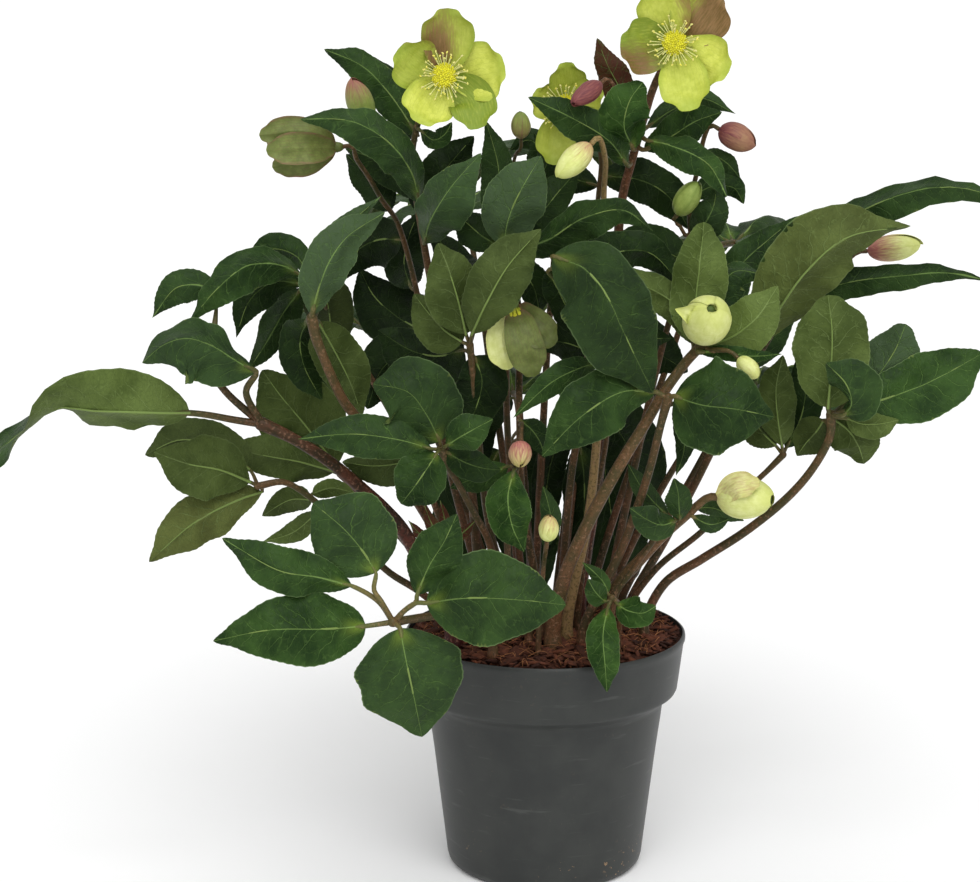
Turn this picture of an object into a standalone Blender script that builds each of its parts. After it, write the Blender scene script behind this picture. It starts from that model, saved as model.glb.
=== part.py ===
"""A hellebore in its nursery pot: compound leaves, flowering stems, flowers, buds, soil and pot."""

import math
from collections import namedtuple

import bmesh
import bpy
from mathutils import Matrix, Vector

MM = 0.001

# The pot is a 19 cm nursery pot, and everything else is scaled from it.
RIM_RADIUS = 95 * MM
POT_HEIGHT = 163 * MM
SOIL_TOP = 161 * MM
SEAT_GAP = 0.3 * MM

# The viewpoint. A place read off the picture is (pixels across, pixels down, millimetres in front of the
# pot's axis), and at() turns it into a point in metres, with the origin under the middle of the pot.
PICTURE_MIDDLE = (490, 441)
FOCAL_PIXELS = 2196
EYE = Vector((-0.0376, -1.443, 0.571))
EYE_PITCH = math.radians(10.9)
LOOK = Vector((0, math.cos(EYE_PITCH), -math.sin(EYE_PITCH)))
LOOK_UP = Vector((0, math.sin(EYE_PITCH), math.cos(EYE_PITCH)))
DOWN = Vector((0, 0, -1))

# An outline rises from the base as s ** first and falls to the tip as (1 - s) ** second.
OVATE = (0.75, 0.85)
BROAD = (0.55, 0.75)
LANCE = (0.85, 1.15)
ROUND = (0.5, 0.5)
SEPAL = (0.7, 0.42)
FOLDED = (0.55, 1.1)
ROUNDED = (0.5, 0.85)
LATE = (0.75, 0.6)

Blade = namedtuple("Blade", "rib width tilt form face twig seen")
Shoot = namedtuple("Shoot", "path radius blades twigs hub")


def at(across, down, near):
    ray = LOOK * FOCAL_PIXELS
    ray += Vector((across - PICTURE_MIDDLE[0], 0, 0)) - LOOK_UP * (down - PICTURE_MIDDLE[1])
    return EYE + ray * ((-near * MM - EYE.y) / ray.y)


def places(points):
    return [p if isinstance(p, Vector) else at(*p) for p in points]


def blade(rib, width, tilt=(0, 0), form=OVATE, face="top", twig=(), seen="front"):
    """A leaflet, bract or sepal. width is its half width in mm. tilt is how far the half on the left and the
    half on the right of the midrib, seen from base to tip, turn away from the viewer, in degrees; a list of
    such pairs spreads them along the midrib. face is the side that the viewer sees."""
    return Blade(places(rib), width * MM, tilt, form, face, places(twig), seen)


def from_soil(x, near, *rest):
    """A path that leaves the soil upright at (x, near) in mm and goes on through the other points."""
    foot = Vector((x * MM, -near * MM, SOIL_TOP + SEAT_GAP))
    return [foot, foot + Vector((0, 0, 12 * MM)), *places(rest)]


def shoot(path, radius, blades=(), twigs=(), hub=True):
    """A leaf or stem. radius is in mm at the soil and at the far end, and each twig is the path of a side
    stalk that carries a bud. hub is False where the far end carries a flower or bud."""
    return Shoot(places(path), (radius[0] * MM, radius[1] * MM), blades, [places(t) for t in twigs], hub)


def smooth(points, share):
    """The point at a share of the way along a smooth curve through the points. It is a centripetal
    Catmull-Rom curve, which stays tame where short and long pieces meet."""
    spans = len(points) - 1
    span = min(int(share * spans), spans - 1)
    b, c = points[span], points[span + 1]
    a = points[span - 1] if span else b * 2 - c
    d = points[span + 2] if span + 2 <= spans else c * 2 - b
    knots = [0.0]
    for p, q in ((a, b), (b, c), (c, d)):
        knots.append(knots[-1] + math.sqrt((q - p).length))
    t = knots[1] + (knots[2] - knots[1]) * (share * spans - span)
    row = [a, b, c, d]
    for reach in (1, 2):
        row = [
            p.lerp(q, (t - knots[i]) / (knots[i + reach] - knots[i]))
            for i, (p, q) in enumerate(zip(row, row[1:]))
        ]
    return row[0].lerp(row[1], (t - knots[1]) / (knots[2] - knots[1]))


def even_curve(points, steps):
    """steps + 1 points at even distances along the smooth curve."""
    fine = [smooth(points, i / 120) for i in range(121)]
    along = [0.0]
    for p, q in zip(fine, fine[1:]):
        along.append(along[-1] + (q - p).length)
    found = []
    i = 0
    for k in range(steps + 1):
        wanted = along[-1] * k / steps
        while i < 119 and along[i + 1] < wanted:
            i += 1
        t = (wanted - along[i]) / max(along[i + 1] - along[i], 1e-9)
        found.append(fine[i].lerp(fine[i + 1], min(t, 1)))
    return found


def tangents(curve):
    last = len(curve) - 1
    return [(curve[min(i + 1, last)] - curve[max(i - 1, 0)]).normalized() for i in range(last + 1)]


def outline(form, s):
    rise, fall = form
    peak = rise / (rise + fall)
    return (s / peak) ** rise * ((1 - s) / (1 - peak)) ** fall


def tilt_at(tilt, s):
    """The left and right tilts, in radians, at a share s of the midrib."""
    if not isinstance(tilt[0], tuple):
        return math.radians(tilt[0]), math.radians(tilt[1])
    place = s * (len(tilt) - 1)
    i = min(int(place), len(tilt) - 2)
    t = place - i
    t = t * t * (3 - 2 * t)
    return tuple(math.radians(tilt[i][k] * (1 - t) + tilt[i + 1][k] * t) for k in (0, 1))


def blade_axes(b, point, along):
    """The directions to the right of the midrib and away from the viewer, both square to the midrib."""
    view = DOWN if b.seen == "above" else (point - EYE).normalized()
    return view.cross(along).normalized(), (view - along * view.dot(along)).normalized()


def blade_row(b, point, along, s):
    """The midrib's point, the left and right edges, and the away direction, at a share s of the midrib."""
    right, away = blade_axes(b, point, along)
    left_tilt, right_tilt = tilt_at(b.tilt, s)
    half = b.width * outline(b.form, s)
    left_edge = point + (away * math.sin(left_tilt) - right * math.cos(left_tilt)) * half
    right_edge = point + (away * math.sin(right_tilt) + right * math.cos(right_tilt)) * half
    return left_edge, right_edge, away


def nearest_on(curve, point):
    """The point of a chain of straight lines that is nearest to the given one."""
    found = []
    for p, q in zip(curve, curve[1:]):
        t = (point - p).dot(q - p) / (q - p).length_squared
        found.append(p.lerp(q, min(max(t, 0), 1)))
    return min(found, key=lambda p: (p - point).length)


Flower = namedtuple("Flower", "middle nose sepals")
Bud = namedtuple("Bud", "base tip width")

RECEPTACLE = 3.4 * MM
NECK = 6 * MM

BUDS = {
    "bud_opening": Bud(at(703, 334, 66), at(702, 290, 80), 17 * MM),
    "bud_low_right": Bud(at(718, 497, 68), at(775, 496, 78), 12.5 * MM),
    "bud_far_right": Bud(at(867, 251, -12), at(921, 245, -6), 8 * MM),
    "bud_cream": Bud(at(591, 144, 44), at(558, 176, 50), 7.5 * MM),
    "bud_pink_right": Bud(at(719, 129, 8), at(754, 145, 16), 8 * MM),
    "bud_pink_top": Bud(at(601, 83, 26), at(573, 103, 40), 5.5 * MM),
    "bud_green": Bud(at(521, 139, -8), at(521, 111, -6), 5.5 * MM),
    "bud_left": Bud(at(368, 124, 0), at(352, 79, 8), 8 * MM),
    "bud_half_open": Bud(at(677, 215, 14), at(698, 182, 20), 7 * MM),
    "bud_beside_opening": Bud(at(738, 358, 76), at(758, 376, 82), 5 * MM),
    "bud_centre_low": Bud(at(521, 441, 66), at(520, 466, 74), 6.5 * MM),
    "bud_low_middle": Bud(at(547, 541, 84), at(550, 516, 88), 5.5 * MM),
}


def flowers():
    """The open flowers. Each sepal runs from the flower's middle, and nose is a point in front of it."""
    return {
        "flower_left": Flower(
            at(445, 77, 24), at(441, 70, 64),
            [
                blade([(445, 77, 24), (447, 48, 26), (448, 8, 34)], 17, (4, 4), SEPAL),
                blade([(445, 77, 24), (472, 73, 24), (505, 66, 32)], 19, (6, 2), SEPAL),
                blade([(445, 77, 24), (470, 98, 27), (478, 129, 38)], 15, (4, 6), SEPAL),
                blade([(445, 77, 24), (432, 97, 28), (420, 124, 40)], 17, (6, 4), SEPAL),
                blade([(445, 77, 24), (420, 67, 27), (398, 49, 37)], 17, (4, 6), SEPAL),
            ],
        ),
        "flower_right": Flower(
            at(675, 44, 22), at(672, 38, 62),
            [
                blade([(675, 44, 22), (668, 18, 24), (652, -16, 32)], 17, (4, 4), SEPAL),
                blade([(675, 44, 22), (696, 20, 24), (716, -8, 30)], 20, (6, 2), SEPAL),
                blade([(675, 44, 22), (700, 58, 27), (729, 72, 37)], 17, (4, 6), SEPAL),
                blade([(675, 44, 22), (682, 72, 28), (690, 111, 42)], 16, (6, 4), SEPAL),
                blade([(675, 44, 22), (650, 46, 27), (620, 46, 38)], 18, (4, 6), SEPAL),
            ],
        ),
        "flower_hidden": Flower(
            at(566, 108, -14), at(560, 102, 24),
            [
                blade([(566, 108, -14), (568, 88, -12), (566, 62, -4)], 12, (4, 4), SEPAL),
                blade([(566, 108, -14), (584, 98, -12), (602, 88, -6)], 12, (4, 4), SEPAL),
                blade([(566, 108, -14), (582, 122, -12), (600, 134, -6)], 12, (4, 4), SEPAL),
                blade([(566, 108, -14), (558, 132, -12), (553, 165, -4)], 13, (4, 4), SEPAL),
                blade([(566, 108, -14), (552, 104, -13), (533, 94, -9)], 12, (4, 4), SEPAL),
            ],
        ),
        "flower_nodding": Flower(
            at(338, 147, 2), at(300, 150, 0),
            [
                blade([(337, 147, 3), (308, 132, 12), (259, 135, 10)], 13, (20, 30), SEPAL),
                blade([(337, 148, 3), (308, 148, 22), (266, 150, 20)], 13, (14, 14), SEPAL),
                blade([(337, 148, 2), (310, 160, 8), (272, 167, 6)], 12, (30, 20), SEPAL),
                blade([(337, 146, 1), (308, 138, -14), (266, 140, -14)], 13, (-14, -14), SEPAL),
                blade([(337, 148, 1), (310, 156, -12), (274, 160, -12)], 12, (-14, -14), SEPAL),
            ],
        ),
        "flower_drooping": Flower(
            at(514, 305, 46), at(522, 345, 48),
            [
                blade([(514, 306, 47), (502, 335, 54), (508, 370, 52)], 10, (20, 20), SEPAL),
                blade([(514, 306, 47), (522, 335, 62), (534, 377, 60)], 12, (14, 14), SEPAL),
                blade([(515, 306, 46), (536, 327, 60), (555, 345, 62)], 11, (20, 20), SEPAL),
                blade([(514, 306, 45), (512, 335, 34), (516, 366, 36)], 12, (-14, -14), SEPAL),
                blade([(515, 306, 45), (530, 330, 34), (538, 358, 35)], 11, (-14, -14), SEPAL),
            ],
        ),
    }


def head(name):
    """Where a flower or bud is fastened, and the direction it points."""
    if name in BUDS:
        bud = BUDS[name]
        return bud.base, (bud.tip - bud.base).normalized()
    flower = flowers()[name]
    axis = (flower.nose - flower.middle).normalized()
    return flower.middle - axis * RECEPTACLE, axis


def neck(name):
    """The last two points of a stem, just short of the flower or bud and in line with it."""
    base, axis = head(name)
    return base - axis * NECK, base - axis * SEAT_GAP


def spread_leaf(x, y, z, azimuth, length, foot, hanging=(), droop=0.35):
    """A compound leaf with five leaflets spread like a hand, on a stalk that arches out from the soil.
    The hub is at (x, y, z), the leaf points along azimuth, and foot is the stalk's place on the soil.
    hanging lists young leaflets that hang from the stalk."""
    hub = Vector((x, y, z)) * MM
    base = Vector((foot[0] * MM, foot[1] * MM, SOIL_TOP + SEAT_GAP))
    out = Vector((math.cos(math.radians(azimuth)), math.sin(math.radians(azimuth)), 0))
    path = [base, base + Vector((0, 0, 12 * MM)),
            base.lerp(hub, 0.5) + Vector((0, 0, 22 * MM)) - out * 8 * MM,
            hub - out * 22 * MM + Vector((0, 0, -4 * MM)), hub]
    blades = []
    for turn, share, lift in ((-100, 0.7, 0), (-50, 0.9, 4), (0, 1, 8), (50, 0.9, 4), (100, 0.7, 0)):
        angle = math.radians(azimuth + turn)
        way = Vector((math.cos(angle), math.sin(angle), 0))
        reach = length * share * MM
        rib = [hub + way * 3 * MM, hub + way * reach * 0.35 + Vector((0, 0, (lift + 8) * MM)),
               hub + way * reach * 0.7 + Vector((0, 0, (lift + 2) * MM)),
               hub + way * reach * 0.96 + Vector((0, 0, lift * MM - reach * droop))]
        blades.append(blade(rib, 0.23 * length * share, (18, 18), OVATE, "top", (), "above"))
    return shoot(path, (3.0, 2.0), [*blades, *hanging])


def back_leaves():
    """The leaves on the side that the picture doesn't show."""
    return {
        "leaf_back_left": spread_leaf(-128, 128, 352, 135, 96, (-34, 54)),
        "leaf_back_mid_left": spread_leaf(-62, 176, 432, 108, 98, (-16, 62)),
        "leaf_back_mid_right": spread_leaf(48, 178, 372, 74, 100, (10, 64), [
            blade([(600, 430, -142), (606, 478, -144), (614, 536, -142),
                   (618, 604, -136)], 30, (10, 10), BROAD),
        ]),
        "leaf_back_right": spread_leaf(138, 140, 412, 46, 90, (34, 54)),
        "leaf_back_low_right": spread_leaf(150, 96, 312, 22, 84, (48, 58)),
        "leaf_back_low": spread_leaf(-20, 172, 296, 96, 90, (-8, 72), [
            blade([(512, 440, -146), (520, 486, -148), (528, 540, -144),
                   (534, 606, -138)], 27, (10, 10), BROAD),
            blade([(500, 450, -142), (480, 484, -144), (462, 530, -142),
                   (450, 592, -136)], 25, (10, 10), BROAD),
        ]),
        "leaf_back_top": spread_leaf(8, 96, 476, 96, 80, (-6, 46)),
    }


def left_leaves():
    """The leaves that lean out to the left."""
    return {
        "leaf_far_left": shoot(
            from_soil(-62, 42, (405, 534, 55), (385, 510, 62), (360, 487, 68), (330, 462, 75),
                      (290, 437, 80),
                      (262, 424, 82)),
            (5.6, 3.6),
            [
                blade([(190, 413, 90), (160, 413, 95), (128, 412, 98), (92, 411, 100), (57, 408, 100),
                       (22, 432, 98), (-18, 466, 92), (-62, 505, 80)], 29,
                      [(62, 8), (66, 0), (74, -36), (96, -86), (114, -112), (122, -122), (130, -130)],
                      FOLDED, "under", [(235, 420, 85), (208, 415, 88)]),
                blade([(256, 372, 100), (232, 359, 112), (212, 346, 120), (188, 339, 124), (164, 345, 124),
                       (142, 363, 118)], 27, (10, 62), OVATE, "top", [(246, 392, 92)]),
                blade([(216, 300, 58), (205, 287, 62), (178, 287, 64), (152, 318, 58)], 12, (15, 30), LANCE,
                      "top", [(226, 392, 84), (215, 375, 82), (214, 335, 66)]),
            ],
        ),
        "leaf_low_left": shoot(
            from_soil(-66, 12, (420, 592, 20), (390, 573, 22), (360, 545, 26), (330, 515, 30),
                      (303, 492, 34),
                      (283, 482, 38), (258, 486, 42)),
            (2.6, 2.0),
            [
                blade([(250, 482, 46), (220, 470, 56), (188, 464, 60), (154, 452, 56)], 21, (12, 15), OVATE,
                      "under"),
                blade([(250, 470, 26), (215, 446, 22), (180, 440, 18), (145, 455, 12)], 20, (15, 35), BROAD,
                      "under"),
                blade([(262, 492, 38), (236, 501, 46), (194, 523, 52), (149, 562, 54)], 19, (32, 20), OVATE,
                      "under"),
                blade([(312, 500, 24), (290, 500, 14), (262, 516, 8)], 10, (30, 20), OVATE, "under"),
                blade([(318, 512, 18), (292, 533, 6), (262, 542, 2)], 8, (20, 20), LANCE, "under"),
                blade([(312, 494, 22), (332, 488, 12), (357, 494, 8)], 7, (20, 20), LANCE, "under"),
            ],
        ),
        "leaf_behind_fork": shoot(
            from_soil(-58, -18, (420, 560, -22), (378, 512, -20), (340, 474, -14)),
            (2.6, 2.0),
            [
                blade([(336, 466, -14), (305, 425, -4), (280, 395, 0), (262, 370, -2)], 30, (15, 20), BROAD,
                      "under"),
                blade([(338, 462, -22), (322, 420, -26), (308, 385, -26), (300, 350, -30)], 19, (10, 30)),
                blade([(334, 472, -6), (300, 462, 6), (262, 455, 12), (226, 444, 12)], 17, (30, 10), OVATE,
                      "under"),
            ],
        ),
        "leaf_upper_left": shoot(
            from_soil(-56, -36, (425, 480, -62), (375, 385, -72), (335, 320, -40), (306, 280, 24)),
            (2.6, 1.9),
            [
                blade([(302, 276, 34), (280, 265, 50), (247, 266, 64), (218, 288, 72), (190, 321, 70)], 17,
                      (20, 50), OVATE),
                blade([(303, 284, 22), (274, 282, 32), (250, 300, 36),
                       (236, 338, 34)], 15, (30, 30), LANCE),
                blade([(308, 274, 16), (296, 256, 12), (272, 249, 10), (246, 264, 8)], 11, (45, 10), OVATE),
                blade([(302, 288, 16), (284, 312, 12), (268, 340, 10), (246, 374, 8)], 14, (30, 40), LANCE),
                blade([(312, 282, 4), (326, 300, -20), (330, 332, -34),
                       (318, 372, -44)], 18, (20, 20), OVATE,
                      "under"),
            ],
        ),
        "leaf_blue_left": shoot(
            from_soil(-50, 18, (440, 540, 24), (400, 475, 44), (357, 418, 58), (345, 403, 61),
                      (334, 382, 64),
                      (323, 356, 67), (316, 338, 69), (312, 319, 71)),
            (4.2, 3.0),
            [
                blade([(312, 315, 74), (319, 288, 84), (329, 262, 87), (346, 238, 82), (385, 212, 62)], 17,
                      (28, 34), BROAD),
                blade([(316, 312, 62), (325, 272, 60), (343, 232, 54),
                       (381, 196, 40)], 12, (30, 30), LANCE),
                blade([(318, 322, 60), (334, 350, 46), (350, 382, 38), (362, 416, 30)], 17, (15, 15), OVATE,
                      "under"),
                blade([(308, 320, 60), (300, 340, 42), (304, 366, 34), (322, 400, 28)], 15, (20, 15)),
            ],
        ),
        "leaf_front_low": shoot(
            from_soil(-36, 66, (470, 612, 92), (432, 616, 120), (393, 622, 147)),
            (3.2, 2.6),
            [
                blade([(376, 573, 150), (364, 553, 154), (345, 530, 155),
                       (313, 503, 148)], 29, (14, 14), BROAD,
                      "top", [(381, 601, 150), (374, 590, 150)]),
                blade([(352, 586, 150), (318, 577, 162), (280, 571, 168), (222, 538, 160)], 15, (30, 12),
                      OVATE, "top", [(380, 603, 148), (368, 594, 148)]),
                blade([(366, 626, 151), (325, 629, 165), (270, 630, 172), (213, 641, 165)], 22, (10, 14),
                      ROUNDED, "top"),
                blade([(400, 628, 152), (406, 660, 164), (415, 702, 166),
                       (422, 737, 158)], 36, (18, 20), BROAD),
                blade([(426, 603, 155), (470, 598, 171), (520, 600, 178),
                       (566, 605, 172)], 29, (18, 12), BROAD,
                      "top", [(403, 612, 150), (416, 603, 153)]),
                blade([(417, 595, 152), (429, 566, 159), (444, 542, 161), (457, 514, 155)], 16.5, (18, 22),
                      OVATE, "top", [(404, 611, 149), (416, 602, 151)]),
            ],
        ),
    }


def middle_leaves():
    """The leaves over the middle of the pot."""
    return {
        "leaf_middle_left": shoot(
            from_soil(-30, 28, (490, 545, 44), (475, 515, 58), (460, 487, 72), (446, 463, 84),
                      (441, 449, 90)),
            (3.0, 2.0),
            [
                blade([(440, 442, 92), (426, 414, 101), (408, 392, 105),
                       (373, 384, 100)], 28, (8, 16), BROAD),
                blade([(432, 449, 96), (400, 440, 106), (352, 434, 111),
                       (298, 439, 106)], 15, (14, 22), LANCE),
                blade([(446, 446, 97), (460, 437, 104), (476, 428, 106), (493, 419, 104)], 12, (14, 20)),
                blade([(437, 453, 97), (426, 470, 110), (415, 486, 114),
                       (401, 504, 112)], 18, (20, 20), ROUND),
                blade([(446, 452, 88), (464, 462, 86), (482, 468, 84), (501, 470, 80)], 11, (25, 15)),
                blade([(436, 456, 82), (408, 462, 74), (374, 466, 70), (342, 462, 66)], 15, (22, 22), OVATE,
                      "under"),
            ],
        ),
        "leaf_centre_left": shoot(
            from_soil(-22, 2, (488, 520, 10), (478, 430, 30), (470, 345, 46)),
            (2.8, 2.0),
            [
                blade([(466, 334, 52), (458, 300, 60), (448, 268, 60), (438, 243, 54)], 20, (12, 20), BROAD,
                      "under"),
                blade([(472, 334, 58), (486, 304, 74), (508, 266, 78), (541, 229, 68)], 19, (12, 20), OVATE,
                      "under"),
                blade([(462, 342, 46), (444, 330, 42), (426, 310, 38), (414, 294, 34)], 17, (20, 20), BROAD,
                      "under"),
                blade([(474, 356, 42), (482, 380, 42), (476, 408, 38),
                       (466, 428, 32)], 18, (15, 15), BROAD),
                blade([(464, 350, 38), (436, 356, 20), (410, 350, 8), (378, 330, -2)], 22, (15, 25), BROAD),
                blade([(474, 330, 40), (470, 290, 0), (450, 255, -40),
                       (425, 222, -56)], 16, (20, 20), BROAD),
            ],
        ),
        "leaf_upper_middle": shoot(
            from_soil(-14, -16, (508, 440, -6), (506, 330, 8), (505, 262, 24)),
            (2.8, 2.0),
            [
                blade([(503, 246, 34), (509, 217, 44), (522, 188, 48),
                       (541, 156, 40)], 21, (16, 18), BROAD),
                blade([(512, 250, 32), (548, 240, 54), (582, 219, 70), (622, 210, 76), (653, 231, 68)], 15,
                      (48, 22), OVATE),
                blade([(498, 246, 26), (482, 236, 24), (468, 224, 20), (455, 213, 14)], 13, (15, 25)),
                blade([(506, 238, 14), (500, 205, 2), (498, 165, -6),
                       (486, 121, -12)], 13, (20, 30), OVATE),
                blade([(514, 244, 16), (540, 215, 6), (560, 190, -4), (580, 168, -16)], 14, (20, 20)),
                blade([(509, 266, 16), (522, 272, 8), (534, 288, 2), (540, 316, -4)], 13, (20, 20)),
            ],
        ),
        "leaf_centre": shoot(
            from_soil(10, 6, (572, 470, 28), (588, 380, 36), (582, 316, 52), (560, 268, 74)),
            (3.0, 2.2),
            [
                blade([(552, 256, 84), (583, 268, 96), (604, 291, 104), (619, 322, 108), (633, 352, 106),
                       (653, 393, 95)], 33, (40, 16), BROAD),
                blade([(548, 270, 70), (562, 298, 52), (576, 326, 40),
                       (594, 350, 30)], 12, (30, 30), LANCE),
                blade([(556, 262, 60), (600, 255, 32), (648, 252, 16), (684, 288, 6)], 16, (30, 30), OVATE),
                blade([(552, 268, 50), (574, 254, 20), (592, 244, -4),
                       (614, 232, -18)], 10, (20, 40), LANCE),
            ],
        ),
        "leaf_narrow": shoot(
            from_soil(22, -2, (590, 520, 6), (606, 440, 26), (608, 372, 50)),
            (2.4, 1.8),
            [
                blade([(602, 362, 58), (580, 368, 70), (552, 382, 76),
                       (513, 418, 74)], 10, (22, 26), LANCE),
                blade([(610, 364, 44), (626, 350, 30), (646, 340, 18), (672, 338, 8)], 14, (22, 26), OVATE),
                blade([(602, 366, 40), (584, 350, 26), (560, 342, 14), (530, 345, 4)], 15, (25, 20), OVATE),
            ],
        ),
        "leaf_low_middle": shoot(
            from_soil(-12, 34, (508, 556, 52), (511, 500, 62), (517, 462, 64)),
            (2.6, 2.0),
            [
                blade([(514, 470, 70), (508, 497, 82), (512, 525, 86),
                       (524, 552, 82)], 15, (16, 20), OVATE),
                blade([(508, 466, 62), (490, 474, 60), (470, 480, 58), (450, 488, 52)], 10, (20, 30)),
            ],
        ),
    }


def right_leaves():
    """The leaves that lean out to the right."""
    return {
        "leaf_long_right": shoot(
            from_soil(58, -22, (665, 540, -30), (702, 470, -22), (735, 400, 0), (749, 358, 32)),
            (3.2, 2.5),
            [
                blade([(753, 344, 42), (777, 312, 52), (806, 272, 62), (846, 238, 68), (911, 226, 58)], 29,
                      [(15, 45), (15, 45), (20, 50), (50, 70)], OVATE, "under"),
                blade([(757, 334, 30), (790, 270, 26), (838, 225, 36), (900, 195, 50), (950, 187, 56),
                       (994, 197, 54), (1030, 224, 44)], 16, [(60, 20), (60, 20), (60, 20)], LANCE),
                blade([(756, 340, 20), (790, 306, 16), (842, 284, 22), (900, 276, 30), (948, 273, 30),
                       (990, 281, 24)], 12.5, (40, 25), LANCE),
                blade([(744, 352, 26), (730, 320, 8), (738, 270, -10), (768, 240, -20),
                       (798, 216, -26)], 14,
                      (25, 35), OVATE),
            ],
        ),
        "leaf_oval_right": shoot(
            from_soil(66, 20, (665, 583, 24), (702, 559, 30), (746, 531, 38), (788, 497, 46),
                      (813, 468, 52),
                      (830, 436, 58), (831, 415, 62)),
            (3.2, 2.6),
            [
                blade([(828, 408, 66), (831, 370, 72), (832, 330, 72),
                       (828, 295, 66)], 25.5, (14, 14), ROUND,
                      "under"),
                blade([(840, 408, 50), (872, 382, 46), (894, 352, 44),
                       (906, 324, 40)], 21, (20, 16), ROUND),
                blade([(842, 412, 62), (885, 399, 60), (930, 382, 60), (983, 353, 54)], 22, (28, 6), LATE),
                blade([(844, 415, 76), (852, 404, 86), (846, 384, 92), (826, 363, 92)], 20, (60, 10), OVATE,
                      "top"),
                blade([(832, 418, 56), (848, 430, 56), (858, 445, 56), (864, 464, 50)], 18, (24, 30), ROUND,
                      "under"),
                blade([(846, 418, 66), (862, 424, 70), (880, 424, 70), (899, 420, 66)], 10, (35, 15), OVATE,
                      "under"),
                blade([(824, 420, 50), (816, 432, 44), (806, 443, 40), (797, 456, 34)], 14, (20, 20), OVATE,
                      "under"),
            ],
        ),
        "leaf_slim_right": shoot(
            from_soil(56, -8, (655, 570, -8), (700, 533, -4), (735, 500, 2), (765, 473, 8), (783, 455, 12)),
            (2.4, 1.9),
            [
                blade([(782, 446, 14), (778, 420, 22), (776, 390, 22), (783, 355, 14)], 14, (20, 15), OVATE,
                      "under"),
                blade([(786, 448, 8), (800, 420, 6), (806, 385, 2), (800, 350, -6)], 14, (15, 20), OVATE),
                blade([(776, 446, 12), (762, 432, 8), (752, 415, 2), (748, 392, -6)], 13, (15, 30), OVATE,
                      "under"),
            ],
        ),
        "leaf_dark_right": shoot(
            from_soil(24, 40, (622, 548, 50), (648, 475, 62), (662, 420, 78), (668, 398, 84)),
            (3.4, 2.6),
            [
                blade([(674, 396, 88), (702, 405, 102), (735, 409, 106), (774, 417, 98)], 31, (14, 14),
                      ROUNDED),
                blade([(656, 392, 84), (622, 392, 96), (582, 416, 102),
                       (542, 456, 96)], 22, (20, 26), OVATE),
                blade([(674, 404, 78), (683, 425, 76), (684, 450, 72), (676, 476, 66)], 8, (30, 30), LANCE),
            ],
        ),
        "leaf_low_right": shoot(
            from_soil(30, 44, (640, 560, 52), (664, 528, 58), (678, 516, 60)),
            (2.0, 1.6),
            [
                blade([(680, 520, 62), (679, 504, 70), (678, 492, 72), (674, 478, 68)], 9, (16, 20), BROAD),
                blade([(676, 521, 62), (661, 525, 70), (646, 519, 74),
                       (630, 508, 74)], 11, (20, 20), BROAD),
                blade([(668, 516, 50), (652, 500, 46), (640, 485, 44), (628, 464, 40)], 7, (20, 20), OVATE),
            ],
        ),
        "leaf_base_sprout": shoot(
            from_soil(46, 56, (620, 606, 72), (612, 598, 78)),
            (2.4, 1.8),
            [
                blade([(608, 607, 82), (603, 636, 104), (605, 664, 112),
                       (607, 692, 108)], 11, (12, 16), OVATE),
                blade([(617, 604, 80), (629, 611, 88), (643, 613, 92),
                       (656, 606, 90)], 11, (14, 20), BROAD),
                blade([(606, 602, 78), (600, 597, 84), (594, 590, 86), (588, 579, 84)], 8, (14, 20), BROAD),
                blade([(608, 594, 74), (604, 583, 74), (594, 572, 74), (582, 562, 70)], 5, (14, 20), LANCE),
            ],
        ),
    }


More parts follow.
